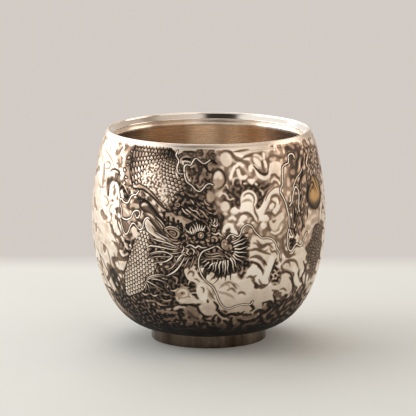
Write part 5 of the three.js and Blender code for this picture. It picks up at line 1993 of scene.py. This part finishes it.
def foot_silver():
    """Tarnished silver of the foot, with streaks down its wall."""
    material, shader = new_material("polished_silver_foot")
    n = Nodes(material)
    streaks = n.noise(n.place(STREAK_SCALES), *STREAKS)
    turning = n.turning(*POLISHING)
    wipes = n.noise(n.place(), *FOOT_WIPES)
    colour = n.mix(n.spread(streaks, *STREAK_RANGE), FOOT_DARK, FOOT_LIGHT)
    n.feed(shader, "Base Color", n.mix(n.spread(wipes, *FOOT_WIPE_RANGE), colour, FOOT_WIPE_TONE))
    n.feed(shader, "Metallic", 1.0)
    n.feed(shader, "Roughness", n.spread_noise(wipes, *FOOT_ROUGH))
    n.feed(shader, "Normal", n.bump(turning, *POLISH_BUMP))
    return material


def lip_silver():
    """The lip: satin outside, where the chasing runs out, and polished on the bevel."""
    material, shader = new_material("polished_silver_lip")
    n = Nodes(material)
    bevel = n.spread(n.radius(), BEVEL_FROM, BEVEL_TO)
    wipes = n.noise(n.place(), *LIP_WIPES)
    turning = n.turning(*POLISHING)
    grounds = n.ramp(n.attribute("height"), PATINA_STOPS)
    satin_tone = n.mix(n.spread(wipes, *LIP_WIPE_RANGE), SATIN_DARK, SATIN_LIGHT)
    silver = n.mix(bevel, satin_tone, BEVEL_TONE)
    raised = n.spread(n.attribute("height"), *RAISED_RANGE)
    n.feed(shader, "Base Color", n.mix(raised, grounds, silver))
    n.feed(shader, "Metallic", 1.0)
    satin = n.spread_noise(wipes, *SATIN_ROUGH)
    n.feed(shader, "Roughness", n.math("SUBTRACT", satin, n.math("MULTIPLY", bevel, BEVEL_POLISH)))
    n.feed(shader, "Normal", n.bump(turning, *POLISH_BUMP))
    return material


def porcelain():
    """Unglazed porcelain with fine turning rings."""
    material, shader = new_material("unglazed_porcelain")
    n = Nodes(material)
    rings = n.turning(*POTTING)
    specks = n.noise(n.place(), *SPECKS)
    colour = n.mix(n.spread_noise(rings), PORCELAIN_DARK, PORCELAIN_LIGHT)
    n.feed(shader, "Base Color", n.mix(n.spread(specks, *SPECK_RANGE), colour, SPECK_TONE))
    n.feed(shader, "Roughness", n.spread_noise(specks, *PORCELAIN_ROUGH))
    n.feed(shader, "Normal", n.bump(rings, *POTTING_BUMP))
    return material


# Pieces

def lip_profile():
    """The crest, bevel and inner wall of the lip, from its outer edge inwards and down."""
    crest_radius = LIP_RADIUS - CREST_WIDTH / 2
    bevel_top = (LIP_RADIUS - CREST_WIDTH, LIP_HEIGHT - CREST_DROP)
    t = np.linspace(0, 1, CREST_POINTS)[1:, None]
    edge, crest = (LIP_RADIUS, LIP_HEIGHT - CREST_DROP), (crest_radius, LIP_HEIGHT)
    outer = bent(edge, (LIP_RADIUS, LIP_HEIGHT), crest, t)
    inner = bent(crest, (bevel_top[0], LIP_HEIGHT), bevel_top, t)
    bevel_end = (LIP_INNER_RADIUS, SEAM_HEIGHT + BEVEL_FOOT)
    seam = (LIP_INNER_RADIUS, SEAM_HEIGHT)
    t_bevel = np.linspace(0, 1, BEVEL_POINTS)[1:-1, None]
    bevel = np.array(bevel_top) + (np.array(bevel_end) - np.array(bevel_top)) * t_bevel
    return np.vstack([outer, inner, bevel, arc_corner(bevel[-1], bevel_end, seam, BEVEL_EDGE), [seam]])


def liner_profile():
    """The inner face of the liner down to its floor, and its back."""
    face = sunk_side(WALL, FACE_ROWS)[::-1]
    back = sunk_side(WALL - LINER_THICKNESS, HIDDEN_ROWS)
    floor_in = [(r, face[-1, 1]) for r in np.linspace(face[-1, 0], 0, FLOOR_ROWS)[1:]]
    floor_out = [(r, back[0, 1]) for r in (0, back[0, 0] / 2)]
    return np.vstack([face, floor_in, floor_out, back])


def foot_profile():
    """The channel folded round the porcelain foot."""
    thickness = FOOT_BAND_THICKNESS
    outline = [
        (FOOT_INNER_RADIUS + FOOT_EDGE, 0.0),
        (FOOT_RADIUS - FOOT_EDGE, 0.0),
        (FOOT_RADIUS, FOOT_EDGE),
        (FOOT_RADIUS, FOOT_HEIGHT),
        (FOOT_RADIUS - thickness, FOOT_HEIGHT),
        (FOOT_RADIUS - thickness, thickness),
        (FOOT_INNER_RADIUS + thickness, thickness),
        (FOOT_INNER_RADIUS + thickness, PORCELAIN_BASE),
        (FOOT_INNER_RADIUS, PORCELAIN_BASE),
        (FOOT_INNER_RADIUS, FOOT_EDGE),
    ]
    return rounded(outline, FOOT_ROUND, FOOT_STEP)


def disc_profile():
    """The flat disc under the base."""
    radii = np.linspace(0, FOOT_INNER_RADIUS - BOND, FLOOR_ROWS)
    under = [(r, DISC_RISE) for r in radii]
    over = [(r, PORCELAIN_BASE) for r in radii[::-1]]
    return np.array(under + over)


relief, gilt = build()
add_skin(relief, gilt, chased_silver())
lip_metal = lip_silver()
foot_metal = foot_silver()
add_lip(relief, lip_metal)
add_turned("liner_face", liner_profile(), brushed_silver(), "inner_liner")
add_turned("foot_ring", foot_profile(), foot_metal, "foot_band")
add_turned("foot_disc", disc_profile(), foot_metal, "base_disc")
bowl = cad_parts["porcelain_bowl"].data
bowl.materials.clear()
bowl.materials.append(porcelain())


# Stage, light and camera

# Half width of the floor, in metres
FLOOR_HALF = 6.0
# The table reaches TABLE_BACK behind the cup, and further at its sides and front, by these shares
TABLE_BACK = 0.125
SIDE_SHARE = 0.4
FRONT_SHARE = 0.28
TABLE_BLUR = 0.012
WALL_TONE = (0.645, 0.60, 0.56, 1.0)
TABLE_TONE = (0.66, 0.675, 0.655, 1.0)
TABLE_MOTTLE, MOTTLE_SHADE, TABLE_ROUGH = (14.0, 3.0), 0.97, 0.75
# Where across the room its left tone ends and its right tone begins
ROOM_FROM, ROOM_TO = -0.55, 0.75
ROOM_LEFT = (1.0, 0.985, 0.96, 1.0)
ROOM_RIGHT = (0.50, 0.42, 0.35, 1.0)
# Dark cards: direction from the cup, half width and blur as lengths on the unit sphere, tone
CARDS = (
    ((-0.22, -0.53, 0.82), 0.36, 0.06, (0.04, 0.034, 0.030, 1.0)),
    ((0.79, 0.05, 0.60), 0.20, 0.10, (0.16, 0.11, 0.08, 1.0)),
)
# Lamps: name, place in metres, width, height, power in watts, colour; all aim at one place
LAMPS = (
    ("key_left", (-0.78, -0.04, 0.35), 0.60, 0.70, 2.4, (1.0, 0.985, 0.96)),
    ("edge_left", (-0.62, 0.34, 0.20), 0.55, 0.60, 2.4, (1.0, 0.99, 0.98)),
    ("front_soft", (0.62, -0.80, 0.38), 0.90, 0.90, 1.6, (1.0, 0.97, 0.93)),
    ("fill_right", (0.90, 0.14, 0.34), 0.60, 0.60, 2.4, (1.0, 0.90, 0.80)),
    ("top_back", (-0.10, 0.45, 0.62), 0.50, 0.50, 1.5, (1.0, 0.97, 0.93)),
)
LAMP_AIM = (0, 0, 0.035)
# Camera: size of the picture in pixels, sensor in millimetres, nearest and furthest sight in metres
IMAGE_PX = 416
SENSOR_WIDTH = 36.0
CLIP_NEAR, CLIP_FAR = 0.05, 50.0


def floor_material():
    """Pale round the cup, and further off the even tone of a wall, which has no shadows."""
    material, shader = new_material("pale_floor")
    n = Nodes(material)
    place = n.add("ShaderNodeTexCoord").outputs["Object"]
    parts = n.add("ShaderNodeSeparateXYZ", Vector=place)
    across = n.math("MULTIPLY", n.math("ABSOLUTE", parts.outputs["X"]), SIDE_SHARE)
    along = n.math("MAXIMUM", parts.outputs["Y"], n.math("MULTIPLY", parts.outputs["Y"], -FRONT_SHARE))
    away = n.math("MAXIMUM", across, along)
    far = n.spread(away, TABLE_BACK - TABLE_BLUR, TABLE_BACK + TABLE_BLUR)
    mottle = n.noise(place, *TABLE_MOTTLE)
    dark = tuple(c * MOTTLE_SHADE for c in TABLE_TONE[:3]) + (1.0,)
    n.feed(shader, "Base Color", n.mix(n.spread_noise(mottle), dark, TABLE_TONE))
    n.feed(shader, "Roughness", TABLE_ROUGH)
    glow = n.add("ShaderNodeEmission", Color=WALL_TONE, Strength=1.0)
    path = n.add("ShaderNodeLightPath")
    seen = n.math("MAXIMUM", path.outputs["Is Camera Ray"], path.outputs["Is Glossy Ray"])
    seen = n.math("MAXIMUM", seen, path.outputs["Is Transmission Ray"])
    both = n.add("ShaderNodeMixShader")
    n.feed(both, "0", n.math("MULTIPLY", far, seen))
    n.feed(both, "1", shader.outputs["BSDF"])
    n.feed(both, "2", glow.outputs["Emission"])
    output = next(node for node in material.node_tree.nodes if node.type == "OUTPUT_MATERIAL")
    n.feed(output, "Surface", both.outputs["Shader"])
    return material


def add_floor():
    """The floor of the studio, which is table near the cup and wall further off."""
    mesh = bpy.data.meshes.new("floor")
    h = FLOOR_HALF
    mesh.from_pydata([(-h, -h, 0), (h, -h, 0), (h, h, 0), (-h, h, 0)], [], [(0, 1, 2, 3)])
    mesh.materials.append(floor_material())
    floor = bpy.data.objects.new("floor", mesh)
    bpy.context.scene.collection.objects.link(floor)


def add_world():
    """A studio room, bright on the left and warmer and dimmer on the right, with dark cards that the polished
    lip mirrors; the camera sees only its wall."""
    world = bpy.data.worlds.new("studio")
    bpy.context.scene.world = world
    world.use_nodes = True
    n = Nodes(world)
    direction = n.add("ShaderNodeTexCoord").outputs["Generated"]
    parts = n.add("ShaderNodeSeparateXYZ", Vector=direction)
    room = n.mix(n.spread(parts.outputs["X"], ROOM_FROM, ROOM_TO), ROOM_LEFT, ROOM_RIGHT)
    for centre, reach, blur_width, tone in CARDS:
        off_card = n.vector("DISTANCE", direction, centre).outputs["Value"]
        room = n.mix(n.spread(off_card, reach + blur_width, reach), room, tone)
    seen = n.mix(n.add("ShaderNodeLightPath").outputs["Is Camera Ray"], room, WALL_TONE)
    background = next(node for node in world.node_tree.nodes if node.type == "BACKGROUND")
    n.feed(background, "Color", seen)
    n.feed(background, "Strength", 1.0)


def add_lamp(name, place, width, height, power, colour):
    """A rectangular lamp that aims at the cup."""
    light = bpy.data.lights.new(name, "AREA")
    light.shape = "RECTANGLE"
    light.size = width
    light.size_y = height
    light.energy = power
    light.color = colour
    lamp = bpy.data.objects.new(name, light)
    lamp.location = place
    aim = Vector(LAMP_AIM) - Vector(place)
    lamp.rotation_euler = aim.to_track_quat("-Z", "Y").to_euler()
    bpy.context.scene.collection.objects.link(lamp)


def add_camera():
    """The camera that took the photograph, as far as it is known."""
    camera = bpy.data.cameras.new("camera")
    view = bpy.data.objects.new("camera", camera)
    bpy.context.scene.collection.objects.link(view)
    bpy.context.scene.camera = view
    camera.sensor_width = SENSOR_WIDTH
    camera.lens = FOCAL_PX / IMAGE_PX * SENSOR_WIDTH
    camera.clip_start = CLIP_NEAR
    camera.clip_end = CLIP_FAR
    distance = VIEW_DISTANCE * MM
    back = Vector((0, -math.cos(VIEW_RISE), math.sin(VIEW_RISE)))
    view.location = Vector((0, 0, AIM_HEIGHT * MM)) + back * distance
    view.rotation_euler = (-back).to_track_quat("-Z", "Y").to_euler()
    camera.shift_x = (IMAGE_PX / 2 - AXIS_PX) / IMAGE_PX
    camera.shift_y = (AIM_PX - IMAGE_PX / 2) / IMAGE_PX


add_floor()
add_world()
for lamp in LAMPS:
    add_lamp(*lamp)
add_camera()
bpy.context.scene.view_settings.view_transform = "Standard"
